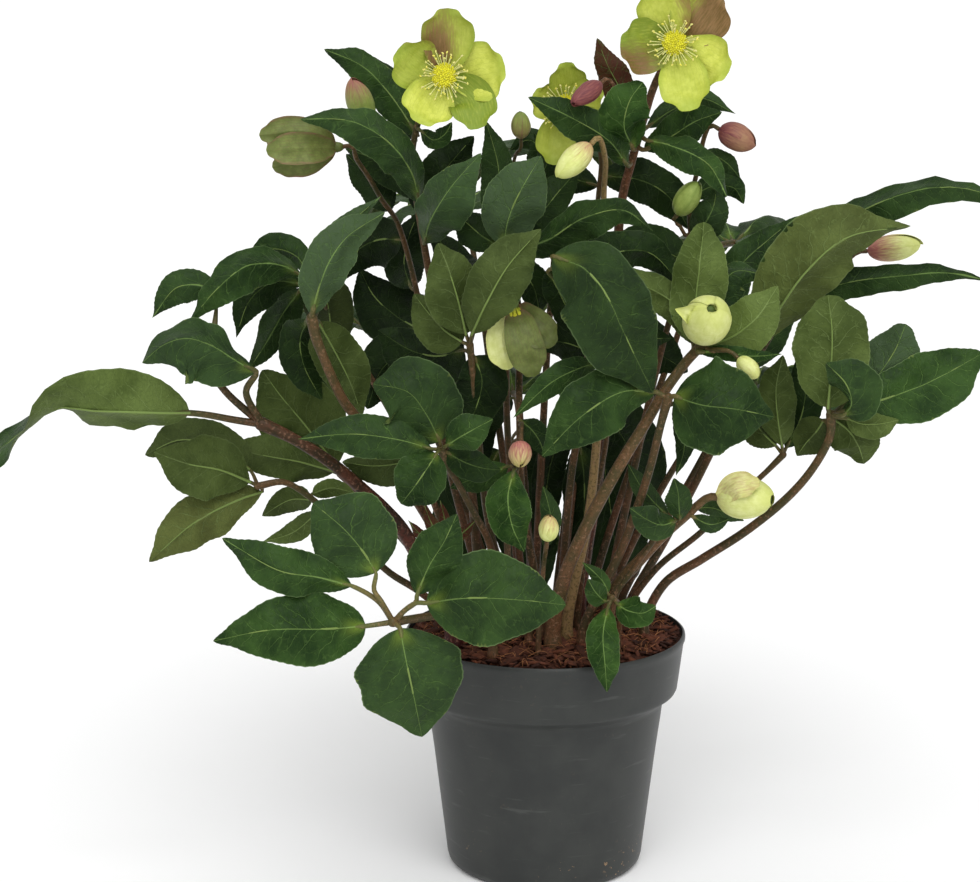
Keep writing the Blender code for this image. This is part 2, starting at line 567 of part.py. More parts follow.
def flower_stems():
    """The flowering stems, with the bracts that grow on them. Each ends just short of what it carries."""
    return {
        "stem_flower_left": shoot(
            from_soil(-44, -6, (470, 480, -22), (440, 330, -24), (420, 220, -10), (412, 160, 0),
                      (420, 118, 2),
                      (436, 94, 4), *neck("flower_left")),
            (3.6, 2.0),
            [
                blade([(420, 205, -4), (410, 170, 22), (386, 140, 38), (350, 121, 46), (300, 119, 46)], 17,
                      (20, 48), OVATE),
                blade([(418, 136, 0), (388, 92, -12), (362, 66, -16), (324, 49, -20)], 14, (20, 35), OVATE),
                blade([(424, 244, 0), (432, 218, 34), (452, 186, 46), (481, 153, 38)], 21, (48, 10), OVATE),
                blade([(416, 140, -2), (400, 104, -22), (388, 78, -28),
                       (372, 56, -34)], 10, (30, 20), OVATE),
                blade([(420, 130, 8), (434, 140, 18), (445, 134, 22), (452, 122, 22)], 7, (20, 30), OVATE),
                blade([(426, 196, -14), (400, 176, -24), (376, 160, -28), (345, 148, -32)], 13, (20, 30)),
                blade([(419, 214, -18), (430, 190, -30), (448, 166, -34), (474, 136, -36)], 17, (20, 20)),
            ],
            [[(408, 168, -6), (396, 150, -10), (382, 138, -8), *neck("bud_left")]],
            hub=False,
        ),
        "stem_nodding_flower": shoot(
            from_soil(-42, -34, (450, 470, -58), (425, 330, -62), (398, 224, -40), (382, 200, -24),
                      (368, 176, -12), (356, 158, -2), *neck("flower_nodding")),
            (3.0, 1.6),
            [
                blade([(391, 211, -32), (378, 190, -38), (364, 172, -44), (346, 154, -50)], 14, (25, 25)),
                blade([(402, 240, -56), (378, 240, -66), (356, 252, -72), (342, 280, -74)], 20, (20, 30)),
                blade([(411, 288, -65), (404, 262, -86), (409, 236, -94), (419, 212, -98)], 15, (24, 18)),
                blade([(420, 330, -68), (396, 316, -88), (374, 296, -98),
                       (360, 270, -102)], 24, (20, 20), BROAD),
                blade([(425, 348, -64), (402, 354, -74), (382, 369, -76),
                       (367, 409, -72)], 20, (20, 20), BROAD),
            ],
            hub=False,
        ),
        "stem_flower_right": shoot(
            from_soil(24, -30, (600, 460, -44), (612, 330, -42), (622, 200, -16), (632, 160, -6),
                      (644, 118, 2),
                      (655, 84, -2), *neck("flower_right")),
            (4.6, 2.6),
            [
                blade([(634, 150, 4), (624, 124, 28), (630, 100, 32), (643, 82, 28)], 18, (16, 20), ROUND),
                blade([(628, 166, 2), (608, 140, 22), (572, 118, 30), (528, 97, 32)], 13, (22, 22), OVATE),
                blade([(640, 132, -8), (624, 96, -16), (608, 66, -16),
                       (597, 38, -20)], 12, (20, 25), OVATE),
                blade([(646, 140, 8), (672, 146, 24), (708, 164, 30), (727, 197, 26)], 13, (48, 14), OVATE),
                blade([(644, 150, 0), (672, 136, 10), (694, 122, 12), (722, 112, 10)], 14, (20, 30), OVATE),
                blade([(646, 128, -10), (672, 110, -16), (700, 98, -18),
                       (736, 114, -22)], 9, (25, 25), LANCE),
            ],
            [[(634, 120, 14), (620, 96, 22), *neck("bud_pink_top")]],
            hub=False,
        ),
        "stem_flower_back": shoot(
            from_soil(12, -44, (578, 440, -74), (584, 320, -70), (598, 200, -36), (600, 150, -36),
                      (584, 120, -36), *neck("flower_hidden")),
            (2.8, 1.6),
            [
                blade([(598, 186, -40), (560, 172, -52), (530, 140, -60), (510, 150, -66)], 14, (20, 20)),
                blade([(600, 176, -36), (640, 180, -44), (668, 196, -50), (690, 230, -54)], 16, (20, 20)),
                blade([(573, 426, -80), (554, 454, -88), (546, 496, -92),
                       (548, 556, -91)], 12, (20, 20), BROAD),
                blade([(582, 396, -82), (610, 420, -102), (634, 460, -112),
                       (646, 540, -114)], 25, (20, 20), BROAD),
                blade([(580, 446, -68), (584, 476, -64), (584, 516, -64),
                       (582, 566, -66)], 17, (20, 20), BROAD),
                blade([(590, 330, -76), (622, 338, -84), (652, 350, -88),
                       (688, 372, -90)], 22, (20, 20), BROAD),
            ],
            hub=False,
        ),
        "stem_buds_right": shoot(
            from_soil(42, -12, (636, 460, -14), (664, 340, -10), (690, 250, -6), (690, 205, -2),
                      (700, 160, 0),
                      (704, 138, 2), *neck("bud_pink_right")),
            (3.2, 1.6),
            [
                blade([(694, 240, 0), (706, 222, 16), (714, 205, 18), (716, 186, 12)], 13, (20, 20)),
                blade([(703, 152, 2), (716, 156, 4), (728, 164, 4), (740, 178, 2)], 7, (30, 20), OVATE),
                blade([(692, 196, -6), (714, 186, -12), (734, 188, -14), (744, 204, -18)], 10, (25, 25)),
                blade([(688, 262, -12), (660, 250, -26), (632, 244, -34), (606, 250, -40)], 16, (20, 20)),
            ],
            [[(686, 236, 6), (678, 224, 12), *neck("bud_half_open")]],
            hub=False,
        ),
        "stem_bud_centre": shoot(
            from_soil(-2, 18, (522, 500, 40), (520, 430, 46), (519, 380, 26), (521, 335, 12),
                      (518, 302, 14),
                      (514, 290, 30), *neck("flower_drooping")),
            (3.2, 2.0),
            [
                blade([(520, 420, 50), (532, 430, 58), (540, 442, 58), (545, 458, 54)], 9, (20, 20)),
            ],
            [[(522, 424, 56), *neck("bud_centre_low")]],
            hub=False,
        ),
        "stem_bud_right": shoot(
            from_soil(4, 40, (565, 575, 50), (580, 540, 54), (600, 500, 60), (624, 458, 66), (645, 424, 66),
                      (664, 392, 62), (686, 362, 58), *neck("bud_opening")),
            (5.0, 3.2),
            [
                blade([(698, 342, 52), (696, 300, 42), (700, 264, 42), (704, 222, 34)], 19, (25, 10), ROUND,
                      "under"),
                blade([(700, 344, 50), (716, 300, 34), (734, 272, 34), (768, 276, 32)], 15, (60, 0), OVATE),
                blade([(702, 346, 58), (730, 338, 66), (756, 318, 72), (778, 286, 68)], 18, (10, 20), OVATE,
                      "under"),
                blade([(694, 344, 48), (676, 306, 32), (640, 284, 36), (600, 271, 40)], 12, (20, 30), OVATE,
                      "under"),
                blade([(698, 352, 66), (724, 352, 70), (750, 356, 70), (783, 354, 68)], 6, (30, 20), LANCE),
            ],
            [[(706, 350, 64), (722, 350, 72), *neck("bud_beside_opening")]],
            hub=False,
        ),
        "stem_bud_far_right": shoot(
            from_soil(54, -38, (690, 480, -48), (745, 380, -54), (796, 300, -34), (824, 276, -22),
                      (844, 263, -16), *neck("bud_far_right")),
            (2.8, 1.6),
            [
                blade([(752, 370, -62), (768, 330, -66), (776, 290, -70), (764, 250, -76)], 17, (20, 20)),
                blade([(790, 306, -40), (806, 262, -46), (830, 232, -52), (860, 216, -58)], 12, (20, 30)),
            ],
            hub=False,
        ),
        "stem_bud_low_right": shoot(
            from_soil(40, 30, (614, 590, 36), (640, 560, 44), (664, 535, 48), (685, 517, 54),
                      *neck("bud_low_right")),
            (5.2, 2.6),
            [
                blade([(692, 516, 58), (708, 524, 64), (716, 524, 64), (729, 519, 60)], 6, (14, 20), OVATE),
                blade([(696, 508, 56), (712, 508, 52), (726, 513, 50), (744, 521, 48)], 6, (20, 20), OVATE),
            ],
            hub=False,
        ),
        "stem_tan": shoot(
            from_soil(14, 20, (588, 520, 30), (596, 450, 34), (600, 380, 20), (602, 280, 0), (604, 190, 4),
                      (605, 158, 26), *neck("bud_cream")),
            (3.6, 1.8),
            hub=False,
        ),
        "stem_small_bud": shoot(
            from_soil(-8, -56, (520, 400, -70), (514, 280, -50), (512, 180, -32), (516, 154, -16),
                      *neck("bud_green")),
            (2.2, 1.2),
            [
                blade([(510, 214, -26), (530, 190, -36), (548, 158, -44), (534, 132, -50)], 11, (20, 20)),
                blade([(512, 398, -76), (480, 412, -86), (466, 452, -92),
                       (462, 526, -90)], 20, (20, 20), BROAD),
            ],
            hub=False,
        ),
        "young_shoot_pink": shoot(
            from_soil(-40, 34, (446, 560, 38), (444, 548, 40)),
            (2.6, 2.0),
            [
                blade([(443, 544, 42), (436, 532, 46), (430, 520, 46),
                       (424, 504, 42)], 5.5, (30, 30), LANCE),
                blade([(445, 540, 40), (446, 528, 40), (444, 516, 38),
                       (440, 500, 34)], 4.5, (30, 30), LANCE),
                blade([(446, 546, 38), (456, 538, 36), (466, 530, 34), (476, 520, 28)], 5, (30, 30), LANCE),
                blade([(440, 548, 42), (428, 540, 44), (418, 532, 42),
                       (408, 520, 36)], 4.5, (30, 30), LANCE),
            ],
            hub=False,
        ),
        "young_shoot": shoot(
            from_soil(-6, 62, (544, 562, 72), *neck("bud_low_middle")),
            (2.0, 1.4),
            [
                blade([(545, 548, 70), (551, 520, 64), (548, 503, 62), (543, 486, 60)], 7, (16, 20), OVATE),
            ],
            hub=False,
        ),
    }

BLADE_STEPS = 5
BLADE_THICKNESS = 1.4 * MM
STALK_SIDES = 5
STALK_STEP = 60 * MM
MOST_BEND = math.radians(26)
LEAST_STEP = 2 * MM
HUB_SWELL = 1.3
MERGE_DISTANCES = (0.1 * MM, 0.05 * MM, 0.02 * MM, 0.005 * MM)
TWIG_START = 0.75
TWIG_RADIUS = 1.1 * MM
TWIG_SHARE = 0.65
BUD_SIDES = 10
RECEPTACLE_SIDES = 8
BUD_FORM = (0.55, 0.62)
CENTRE_SIDES = 16
CENTRE_FOOT = 6 * MM
CENTRE_RADIUS = 13 * MM
CENTRE_DEPTH = 8 * MM
HIDDEN_CENTRES = ("flower_nodding", "flower_drooping")

POT_SIDES = 36
WALL = 2.0 * MM
FLOOR = 3.0 * MM
BODY_TOP_RADIUS = 80.5 * MM
BODY_BASE_RADIUS = 67 * MM
BASE_ROUNDING = 7 * MM
COLLAR_FOOT_RADIUS = 90 * MM
COLLAR_HEIGHT = 39 * MM
COLLAR_STEP = 8 * MM
LIP_ROUNDING = 1.2 * MM
DRAIN_RADIUS = 4 * MM
DRAIN_RING = 42 * MM
DRAIN_COUNT = 6

LEAF_GREEN = (0.045, 0.085, 0.03, 1)
STEM_BROWN = (0.16, 0.06, 0.045, 1)
SEPAL_LIME = (0.50, 0.56, 0.08, 1)
STAMEN_YELLOW = (0.72, 0.70, 0.05, 1)
BUD_CREAM = (0.80, 0.80, 0.36, 1)
BUD_PINK = (0.38, 0.14, 0.13, 1)
POT_GREY = (0.055, 0.06, 0.062, 1)
SOIL_BROWN = (0.12, 0.05, 0.025, 1)


def material(name, colour, roughness):
    made = bpy.data.materials.new(name)
    made.use_nodes = True
    principled = made.node_tree.nodes["Principled BSDF"]
    principled.inputs["Base Color"].default_value = colour
    principled.inputs["Roughness"].default_value = roughness
    made.diffuse_color = colour
    return made


def solid(name, points, faces):
    """An object with this mesh, its faces turned outwards."""
    mesh = bpy.data.meshes.new(name)
    mesh.from_pydata([tuple(p) for p in points], [], faces)
    shape = bmesh.new()
    shape.from_mesh(mesh)
    bmesh.ops.recalc_face_normals(shape, faces=shape.faces)
    if shape.calc_volume(signed=True) < 0:
        bmesh.ops.reverse_faces(shape, faces=shape.faces)
    shape.to_mesh(mesh)
    shape.free()
    made = bpy.data.objects.new(name, mesh)
    bpy.context.scene.collection.objects.link(made)
    return made


def sparse_curve(path):
    """The fewest points along the smooth curve that follow its bends."""
    fine = even_curve(path, 90)
    ways = tangents(fine)
    kept = [0]
    for i in range(1, 90):
        turned_by = ways[i].angle(ways[kept[-1]])
        if turned_by > MOST_BEND or (fine[i] - fine[kept[-1]]).length > STALK_STEP:
            kept.append(i)
    if (fine[90] - fine[kept[-1]]).length < LEAST_STEP and len(kept) > 1:
        kept.pop()
    return [fine[i] for i in kept + [90]]


def tube(name, path, start_radius, end_radius):
    """A closed tapered tube along a smooth path, its two ends square to the path's first and last pieces."""
    curve = sparse_curve(path)
    sides = STALK_SIDES
    steps = len(curve) - 1
    ways = tangents(curve)
    ways[0] = (path[1] - path[0]).normalized()
    ways[-1] = (path[-1] - path[-2]).normalized()
    side = ways[0].orthogonal().normalized()
    points = []
    for i, (centre, way) in enumerate(zip(curve, ways)):
        side = (side - way * side.dot(way)).normalized()
        other = way.cross(side)
        radius = start_radius + (end_radius - start_radius) * i / steps
        for k in range(sides):
            turn = 2 * math.pi * k / sides
            points.append(centre + (side * math.cos(turn) + other * math.sin(turn)) * radius)
    faces = []
    for i in range(steps):
        for k in range(sides):
            n = (k + 1) % sides
            a, b = i * sides, (i + 1) * sides
            faces.append((a + k, a + n, b + n, b + k))
    faces.append(tuple(reversed(range(sides))))
    faces.append(tuple(range(steps * sides, (steps + 1) * sides)))
    return solid(name, points, faces)


def ball(name, centre, radius, detail):
    shape = bmesh.new()
    bmesh.ops.create_icosphere(shape, subdivisions=detail, radius=radius, matrix=Matrix.Translation(centre))
    mesh = bpy.data.meshes.new(name)
    shape.to_mesh(mesh)
    shape.free()
    made = bpy.data.objects.new(name, mesh)
    bpy.context.scene.collection.objects.link(made)
    return made


def leaflet(name, b, start, twig_radius=TWIG_RADIUS):
    """A blade and the twig that runs to it from start, as one closed solid. Each row across it has four
    corners: a small diamond on the twig, and on the blade the two edges and the midrib's two faces. Both
    faces are split along the same diagonals, so that they stay apart where the blade twists."""
    twig = even_curve([start, *b.twig, b.rib[0]], 1 + len(b.twig)) if start != b.rib[0] else [start]
    curve = twig[:-1] + even_curve(b.rib, BLADE_STEPS)
    ways = tangents(curve)
    points = [curve[-1]]
    across = None
    for i in reversed(range(len(curve) - 1)):
        centre, way = curve[i], ways[i]
        s = (i + 1 - len(twig)) / BLADE_STEPS
        if s > 0:
            left, right, away = blade_row(b, centre, way, s)
            across = right - left
            lift = way.cross(across).normalized() * BLADE_THICKNESS / 2
        else:
            across = (across - way * across.dot(way)).normalized() * twig_radius
            left, right = centre - across, centre + across
            lift = way.cross(across)
        points += [left, centre + lift, right, centre - lift]
    last = len(points) - 4
    faces = [(last, last + 1, last + 2), (last, last + 2, last + 3)]
    for k in range(4):
        n = (k + 1) % 4
        faces.append((1 + k, 1 + n, 0))
        for a in range(1, last, 4):
            here, beside, ahead, across_ahead = a + k, a + n, a + k + 4, a + n + 4
            if k < 2:
                faces += [(here, beside, across_ahead), (here, across_ahead, ahead)]
            else:
                faces += [(here, beside, ahead), (beside, across_ahead, ahead)]
    return solid(name, points, faces)


def without_slivers(mesh):
    """Closes up edges and triangles thinner than a merge distance, as long as the surface stays closed."""
    for distance in MERGE_DISTANCES:
        shape = bmesh.new()
        shape.from_mesh(mesh)
        bmesh.ops.triangulate(shape, faces=shape.faces)
        bmesh.ops.dissolve_degenerate(shape, dist=distance, edges=shape.edges)
        bmesh.ops.triangulate(shape, faces=shape.faces)
        closed = all(edge.is_manifold and edge.is_contiguous for edge in shape.edges)
        if closed:
            shape.to_mesh(mesh)
        shape.free()
        if closed:
            return


def united(name, pieces):
    """One object made of all the pieces, which are removed."""
    whole = pieces[0]
    for piece in pieces[1:]:
        join = whole.modifiers.new("join", "BOOLEAN")
        join.operation = "UNION"
        join.solver = "MANIFOLD"
        join.object = piece
        graph = bpy.context.evaluated_depsgraph_get()
        mesh = bpy.data.meshes.new_from_object(whole.evaluated_get(graph))
        whole.modifiers.clear()
        whole.data = mesh
        bpy.data.objects.remove(piece)
    whole.name = name
    whole.data.name = name
    whole.data.materials.clear()
    without_slivers(whole.data)
    return whole


def grown(name, plant, finish):
    """The solid of a leaf or stem: its stalk, the twigs to its blades, and the blades."""
    start, end = plant.radius
    curve = sparse_curve(plant.path)
    pieces = [tube(name, plant.path, start, end)]
    if plant.hub:
        pieces.append(ball("hub", curve[-1], end * HUB_SWELL, 1))
    for b in plant.blades:
        first = b.twig[0] if b.twig else b.rib[0]
        pieces.append(leaflet("leaflet", b, nearest_on(curve, first), max(TWIG_RADIUS, end * TWIG_SHARE)))
    for path in plant.twigs:
        route = [nearest_on(curve, path[0]), *path]
        pieces.append(tube("side_stalk", route, end * TWIG_START, TWIG_RADIUS))
    made = united(name, pieces)
    made.data.materials.append(finish)
    return made


def flower_cup(name, flower, finish):
    """The five sepals, joined where they meet on the receptacle."""
    axis = (flower.nose - flower.middle).normalized()
    profile = [(-RECEPTACLE, 0), (-RECEPTACLE, RECEPTACLE * 0.6), (0, RECEPTACLE),
               (RECEPTACLE, RECEPTACLE * 0.8), (RECEPTACLE, 0)]
    pieces = [turned(name, flower.middle, axis, profile, RECEPTACLE_SIDES)]
    pieces += [leaflet("sepal", b, b.rib[0]) for b in flower.sepals]
    made = united(name, pieces)
    made.data.materials.append(finish)
    return made


def turned(name, centre, axis, profile, sides):
    """A closed solid of revolution. profile lists (distance along the axis, radius), and both ends have
    radius 0."""
    side = axis.orthogonal().normalized()
    other = axis.cross(side)
    points = [centre + axis * profile[0][0], centre + axis * profile[-1][0]]
    for along, radius in profile[1:-1]:
        for k in range(sides):
            turn = 2 * math.pi * k / sides
            spoke = side * math.cos(turn) + other * math.sin(turn)
            points.append(centre + axis * along + spoke * radius)
    rows = len(profile) - 2
    faces = []
    for k in range(sides):
        n = (k + 1) % sides
        faces.append((0, 2 + n, 2 + k))
        faces.append((1, 2 + (rows - 1) * sides + k, 2 + (rows - 1) * sides + n))
        for i in range(rows - 1):
            a, b = 2 + i * sides, 2 + (i + 1) * sides
            faces.append((a + k, a + n, b + n, b + k))
    return solid(name, points, faces)


def bud_body(name, bud, finish):
    axis = bud.tip - bud.base
    shares = (0, 0.06, 0.25, 0.5, 0.75, 0.93, 1)
    profile = [(axis.length * s, bud.width * outline(BUD_FORM, s)) for s in shares]
    made = turned(name, bud.base, axis.normalized(), profile, BUD_SIDES)
    made.data.materials.append(finish)
    return made


def flower_centre(name, flower, finish):
    """The ring of nectaries and stamens, as one low dome just off the sepals."""
    axis = (flower.nose - flower.middle).normalized()
    start = RECEPTACLE + SEAT_GAP
    profile = [(start, 0), (start + 0.2 * MM, CENTRE_FOOT), (start + CENTRE_DEPTH * 0.5, CENTRE_RADIUS),
               (start + CENTRE_DEPTH, CENTRE_RADIUS * 0.8), (start + CENTRE_DEPTH * 1.05, 0)]
    made = turned(name, flower.middle, axis, profile, CENTRE_SIDES)
    made.data.materials.append(finish)
    return made


def pot(finish):
    """The pot: a tapered body, a step out to the collar, a rounded lip and drain holes in the floor."""
    top = POT_HEIGHT
    step_top = top - COLLAR_HEIGHT
    step_foot = step_top - COLLAR_STEP
    outside = [(0, 0), (BODY_BASE_RADIUS - BASE_ROUNDING, 0)]
    for i in range(1, 4):
        turn = math.pi / 2 * i / 3
        radius = BODY_BASE_RADIUS - BASE_ROUNDING * (1 - math.sin(turn))
        outside.append((radius, BASE_ROUNDING * (1 - math.cos(turn))))
    outside += [(BODY_TOP_RADIUS, step_foot), (COLLAR_FOOT_RADIUS, step_top),
                (RIM_RADIUS, top - LIP_ROUNDING), (RIM_RADIUS - LIP_ROUNDING, top)]
    inside = [(RIM_RADIUS - LIP_ROUNDING - WALL * 0.5, top), (RIM_RADIUS - WALL, top - LIP_ROUNDING),
              (COLLAR_FOOT_RADIUS - WALL, step_top), (BODY_TOP_RADIUS - WALL, step_foot),
              (BODY_BASE_RADIUS - WALL, BASE_ROUNDING), (BODY_BASE_RADIUS - WALL - 3 * MM, FLOOR), (0, FLOOR)]
    profile = [(z, radius) for radius, z in outside + inside]
    made = turned("pot", Vector(), Vector((0, 0, 1)), profile, POT_SIDES)
    for k in range(DRAIN_COUNT):
        turn = 2 * math.pi * k / DRAIN_COUNT
        place = Vector((math.cos(turn), math.sin(turn), 0)) * DRAIN_RING
        drill(made, place, DRAIN_RADIUS)
    made.data.materials.append(finish)
    return made


def drill(made, place, radius):
    """Cuts an upright hole through the pot's floor."""
    profile = [(-FLOOR, 0), (-FLOOR, radius), (FLOOR * 2, radius), (FLOOR * 2, 0)]
    cutter = turned("cutter", place, Vector((0, 0, 1)), profile, 12)
    cut = made.modifiers.new("hole", "BOOLEAN")
    cut.operation = "DIFFERENCE"
    cut.solver = "EXACT"
    cut.object = cutter
    graph = bpy.context.evaluated_depsgraph_get()
    mesh = bpy.data.meshes.new_from_object(made.evaluated_get(graph))
    made.modifiers.clear()
    made.data = mesh
    bpy.data.objects.remove(cutter)


def soil(finish):
    """The block of bark and coir that fills the pot, level with its lip."""
    low = FLOOR + SEAT_GAP
    step_top = POT_HEIGHT - COLLAR_HEIGHT
    step_foot = step_top - COLLAR_STEP
    off = WALL + SEAT_GAP
    profile = [(low, 0), (low, BODY_BASE_RADIUS - off - 3.4 * MM), (BASE_ROUNDING, BODY_BASE_RADIUS - off),
               (step_foot, BODY_TOP_RADIUS - off - 0.1 * MM), (step_top, COLLAR_FOOT_RADIUS - off - 0.1 * MM),
               (SOIL_TOP - 1.5 * MM, RIM_RADIUS - off - 0.4 * MM), (SOIL_TOP, RIM_RADIUS - off - 3 * MM),
               (SOIL_TOP, 0)]
    made = turned("soil", Vector(), Vector((0, 0, 1)), profile, POT_SIDES)
    made.data.materials.append(finish)
    return made


def build():
    for old in list(bpy.data.objects):
        bpy.data.objects.remove(old)
    leaf_green = material("leaf_green", LEAF_GREEN, 0.45)
    stem_brown = material("stem_brown", STEM_BROWN, 0.6)
    sepal_lime = material("sepal_lime", SEPAL_LIME, 0.5)
    stamen_yellow = material("stamen_yellow", STAMEN_YELLOW, 0.6)
    bud_cream = material("bud_cream", BUD_CREAM, 0.5)
    bud_pink = material("bud_pink", BUD_PINK, 0.5)
    pot(material("pot_grey", POT_GREY, 0.4))
    soil(material("soil_brown", SOIL_BROWN, 0.95))
    for leaves in (left_leaves(), middle_leaves(), right_leaves(), back_leaves()):
        for name, plant in leaves.items():
            grown(name, plant, leaf_green)
    for name, plant in flower_stems().items():
        grown(name, plant, leaf_green if plant.blades else stem_brown)
    for name, flower in flowers().items():
        flower_cup(name, flower, sepal_lime)
        if name not in HIDDEN_CENTRES:
            flower_centre(name + "_centre", flower, stamen_yellow)
    for name, bud in BUDS.items():
        bud_body(name, bud, bud_pink if "pink" in name else bud_cream)


build()
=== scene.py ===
"""A hellebore in its nursery pot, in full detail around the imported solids."""

import math
from collections import namedtuple

import bmesh
import bpy
import numpy as np
from mathutils import Matrix, Vector


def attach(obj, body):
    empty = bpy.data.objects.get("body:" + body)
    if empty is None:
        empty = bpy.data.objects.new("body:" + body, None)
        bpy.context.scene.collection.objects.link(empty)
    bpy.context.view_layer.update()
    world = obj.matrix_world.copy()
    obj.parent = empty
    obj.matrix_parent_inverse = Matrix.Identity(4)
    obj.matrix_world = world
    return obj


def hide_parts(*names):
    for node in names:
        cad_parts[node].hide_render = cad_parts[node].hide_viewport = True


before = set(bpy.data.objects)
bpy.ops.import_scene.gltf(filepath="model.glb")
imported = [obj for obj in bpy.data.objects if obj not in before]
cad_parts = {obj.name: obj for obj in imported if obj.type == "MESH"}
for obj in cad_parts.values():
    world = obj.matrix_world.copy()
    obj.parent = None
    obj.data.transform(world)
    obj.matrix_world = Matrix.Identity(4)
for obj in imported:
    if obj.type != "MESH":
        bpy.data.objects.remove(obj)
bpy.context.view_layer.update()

MM = 0.001
SOIL_TOP = 161 * MM
SEAT_GAP = 0.3 * MM
STALK_FOOT = 12 * MM
RECEPTACLE = 3.4 * MM
NECK = 6 * MM
DRAIN_HOLES = 6
SOIL_RADIUS = 92.2
BARK_CHIPS = 1500
COIR_THREADS = 320
PLANT_SEED, SOIL_SEED = 7, 3
CURVE_STEPS = 120
GOLDEN_ANGLE = 2.39996
PER_CM = 100
FLOOR_REACH = 60
SENSOR_WIDTH = 36

# The viewpoint. A place read off the picture is (pixels across, pixels down, millimetres in front of the
# pot's axis), and at() turns it into a point in metres, with the origin under the middle of the pot.
PICTURE_WIDTH = 980
PICTURE_MIDDLE = (490, 441)
FOCAL_PIXELS = 2196
EYE = Vector((-0.0376, -1.443, 0.571))
EYE_PITCH = math.radians(10.9)
LOOK = Vector((0, math.cos(EYE_PITCH), -math.sin(EYE_PITCH)))
LOOK_UP = Vector((0, math.sin(EYE_PITCH), math.cos(EYE_PITCH)))

# The pot's outline in mm, (radius, height), from the middle of its floor up the outside, over the lip and
# down the inside.
POT_OUTLINE = [
    (0.01, 0), (57, 0), (60, 0), (63.5, 1.0), (66, 3.5), (67, 7.0), (67.6, 12), (70, 32), (73, 57), (76, 82),
    (79, 104), (80.3, 114.5), (80.9, 116.5), (82.4, 118.4), (87.6, 122.6), (89.2, 123.8), (90, 125.4),
    (90.3, 128), (91.4, 136), (92.6, 146), (93.6, 154), (94.1, 157.5), (94.9, 159.0), (95, 160.6),
    (94.8, 162.0), (93.9, 162.9), (93.1, 162.9), (92.9, 161.5), (92.2, 158), (88, 124), (78.5, 116), (65, 7),
    (62, 3.2), (60, 3), (0.01, 3),
]

# The slots of a leaf's materials.
TOP, UNDER, STALK = 0, 1, 2

# An outline rises from the base as s ** first and falls to the tip as (1 - s) ** second.
FORMS = {
    "ovate": (0.75, 0.85),
    "broad": (0.55, 0.75),
    "lance": (0.85, 1.15),
    "round": (0.5, 0.5),
    "sepal": (0.7, 0.42),
    "folded": (0.55, 1.1),
    "rounded": (0.5, 0.85),
    "late": (0.75, 0.6),
}
BUD_FORM = (0.55, 0.62)

# Blade tones with a name: (brightness, share of blue-grey painted sheen, share of bronze). The brightness is
# painted light and shade: shaded and deep are painted shade for leaves inside the plant and for the dark
# leaflets that fill the shade behind the stems.
TONES = {
    "plain": (1.0, 0.1, 0.0),
    "shaded": (0.6, 0.1, 0.0),
    "deep": (0.42, 0.1, 0.0),
    # A large share of the blue-grey painted sheen.
    "bloom": (1.12, 0.75, 0.0),
    "fresh": (1.3, 0.0, 0.0),
}

# The skins of sepals and buds: name; two shades of the ground; deep colour; two shades of stain; colour and
# strength of the veins. Colours are as a picture shows them, from 0 to 255.
PETAL_SKINS = {
    "lime": ("sepal_lime_skin", (172, 180, 64), (192, 198, 86), (122, 146, 34), (112, 88, 44), (138, 106, 64),
             (148, 160, 60), 0.2),
    "dull": ("sepal_outer_skin", (92, 104, 46), (118, 130, 64), (84, 98, 40), (112, 78, 60), (134, 96, 76),
             (96, 78, 52), 0.36),
    "cream": ("bud_cream_skin", (206, 212, 128), (226, 230, 160), (184, 192, 96), (184, 122, 106),
              (160, 92, 90), (186, 196, 104), 0.08),
    "pink": ("bud_pink_skin", (146, 108, 80), (162, 128, 90), (124, 66, 62), (130, 72, 68), (98, 48, 54),
             (120, 76, 62), 0.12),
    "green": ("bud_green_skin", (124, 140, 62), (150, 164, 84), (92, 116, 44), (156, 98, 86), (136, 78, 76),
              (106, 126, 56), 0.14),
}

# How each stalk is toned: (brightness, share of green, share of tan). The brightness is painted light and
# shade, set for each stalk by how much light reaches it; PLAIN_STALK darkens the stalks inside the plant.
STALK_TONES = {
    "leaf_far_left": (0.62, 0.0, 0.0),
    "leaf_front_low": (0.9, 0.1, 0.1),
    "stem_tan": (0.9, 0.1, 1.0),
    "stem_bud_right": (0.85, 0.1, 0.15),
    "stem_flower_right": (0.85, 0.0, 0.1),
    "stem_bud_low_right": (0.9, 0.1, 0.1),
    "young_shoot_pink": (1.4, 0.0, 0.3),
}
PLAIN_STALK = (0.72, 0.1, 0.05)

# The tubes round a flower's axis: count; turn of the first in radians; height and distance from the axis of
# the foot in mm; how much higher and further out the top is; how far the middle bows out; radii as (share of
# the length, mm); the colours of the two ends; distance between rings in mm.
NECTARIES = (13, 0, 2.4, 3.2, 4.2, 3.0, 0.7, [(0, 0.7), (0.7, 1.3), (1, 1.5)],
             ((0.45, 0.55, 0.05, 1), (0.72, 0.72, 0.04, 1)), 1)
SEED_PODS = (4, 0.4, 2.5, 1.2, 9, 1.6, 0, [(0, 1.3), (0.5, 1.2), (0.75, 0.4), (1, 0.25)],
             ((0.35, 0.45, 0.08, 1), (0.55, 0.6, 0.2, 1)), 1.2)

# The flowers whose cups are seen from the side, so that their stamens hardly show.
SIDEWAYS = ("flower_nodding", "flower_drooping")
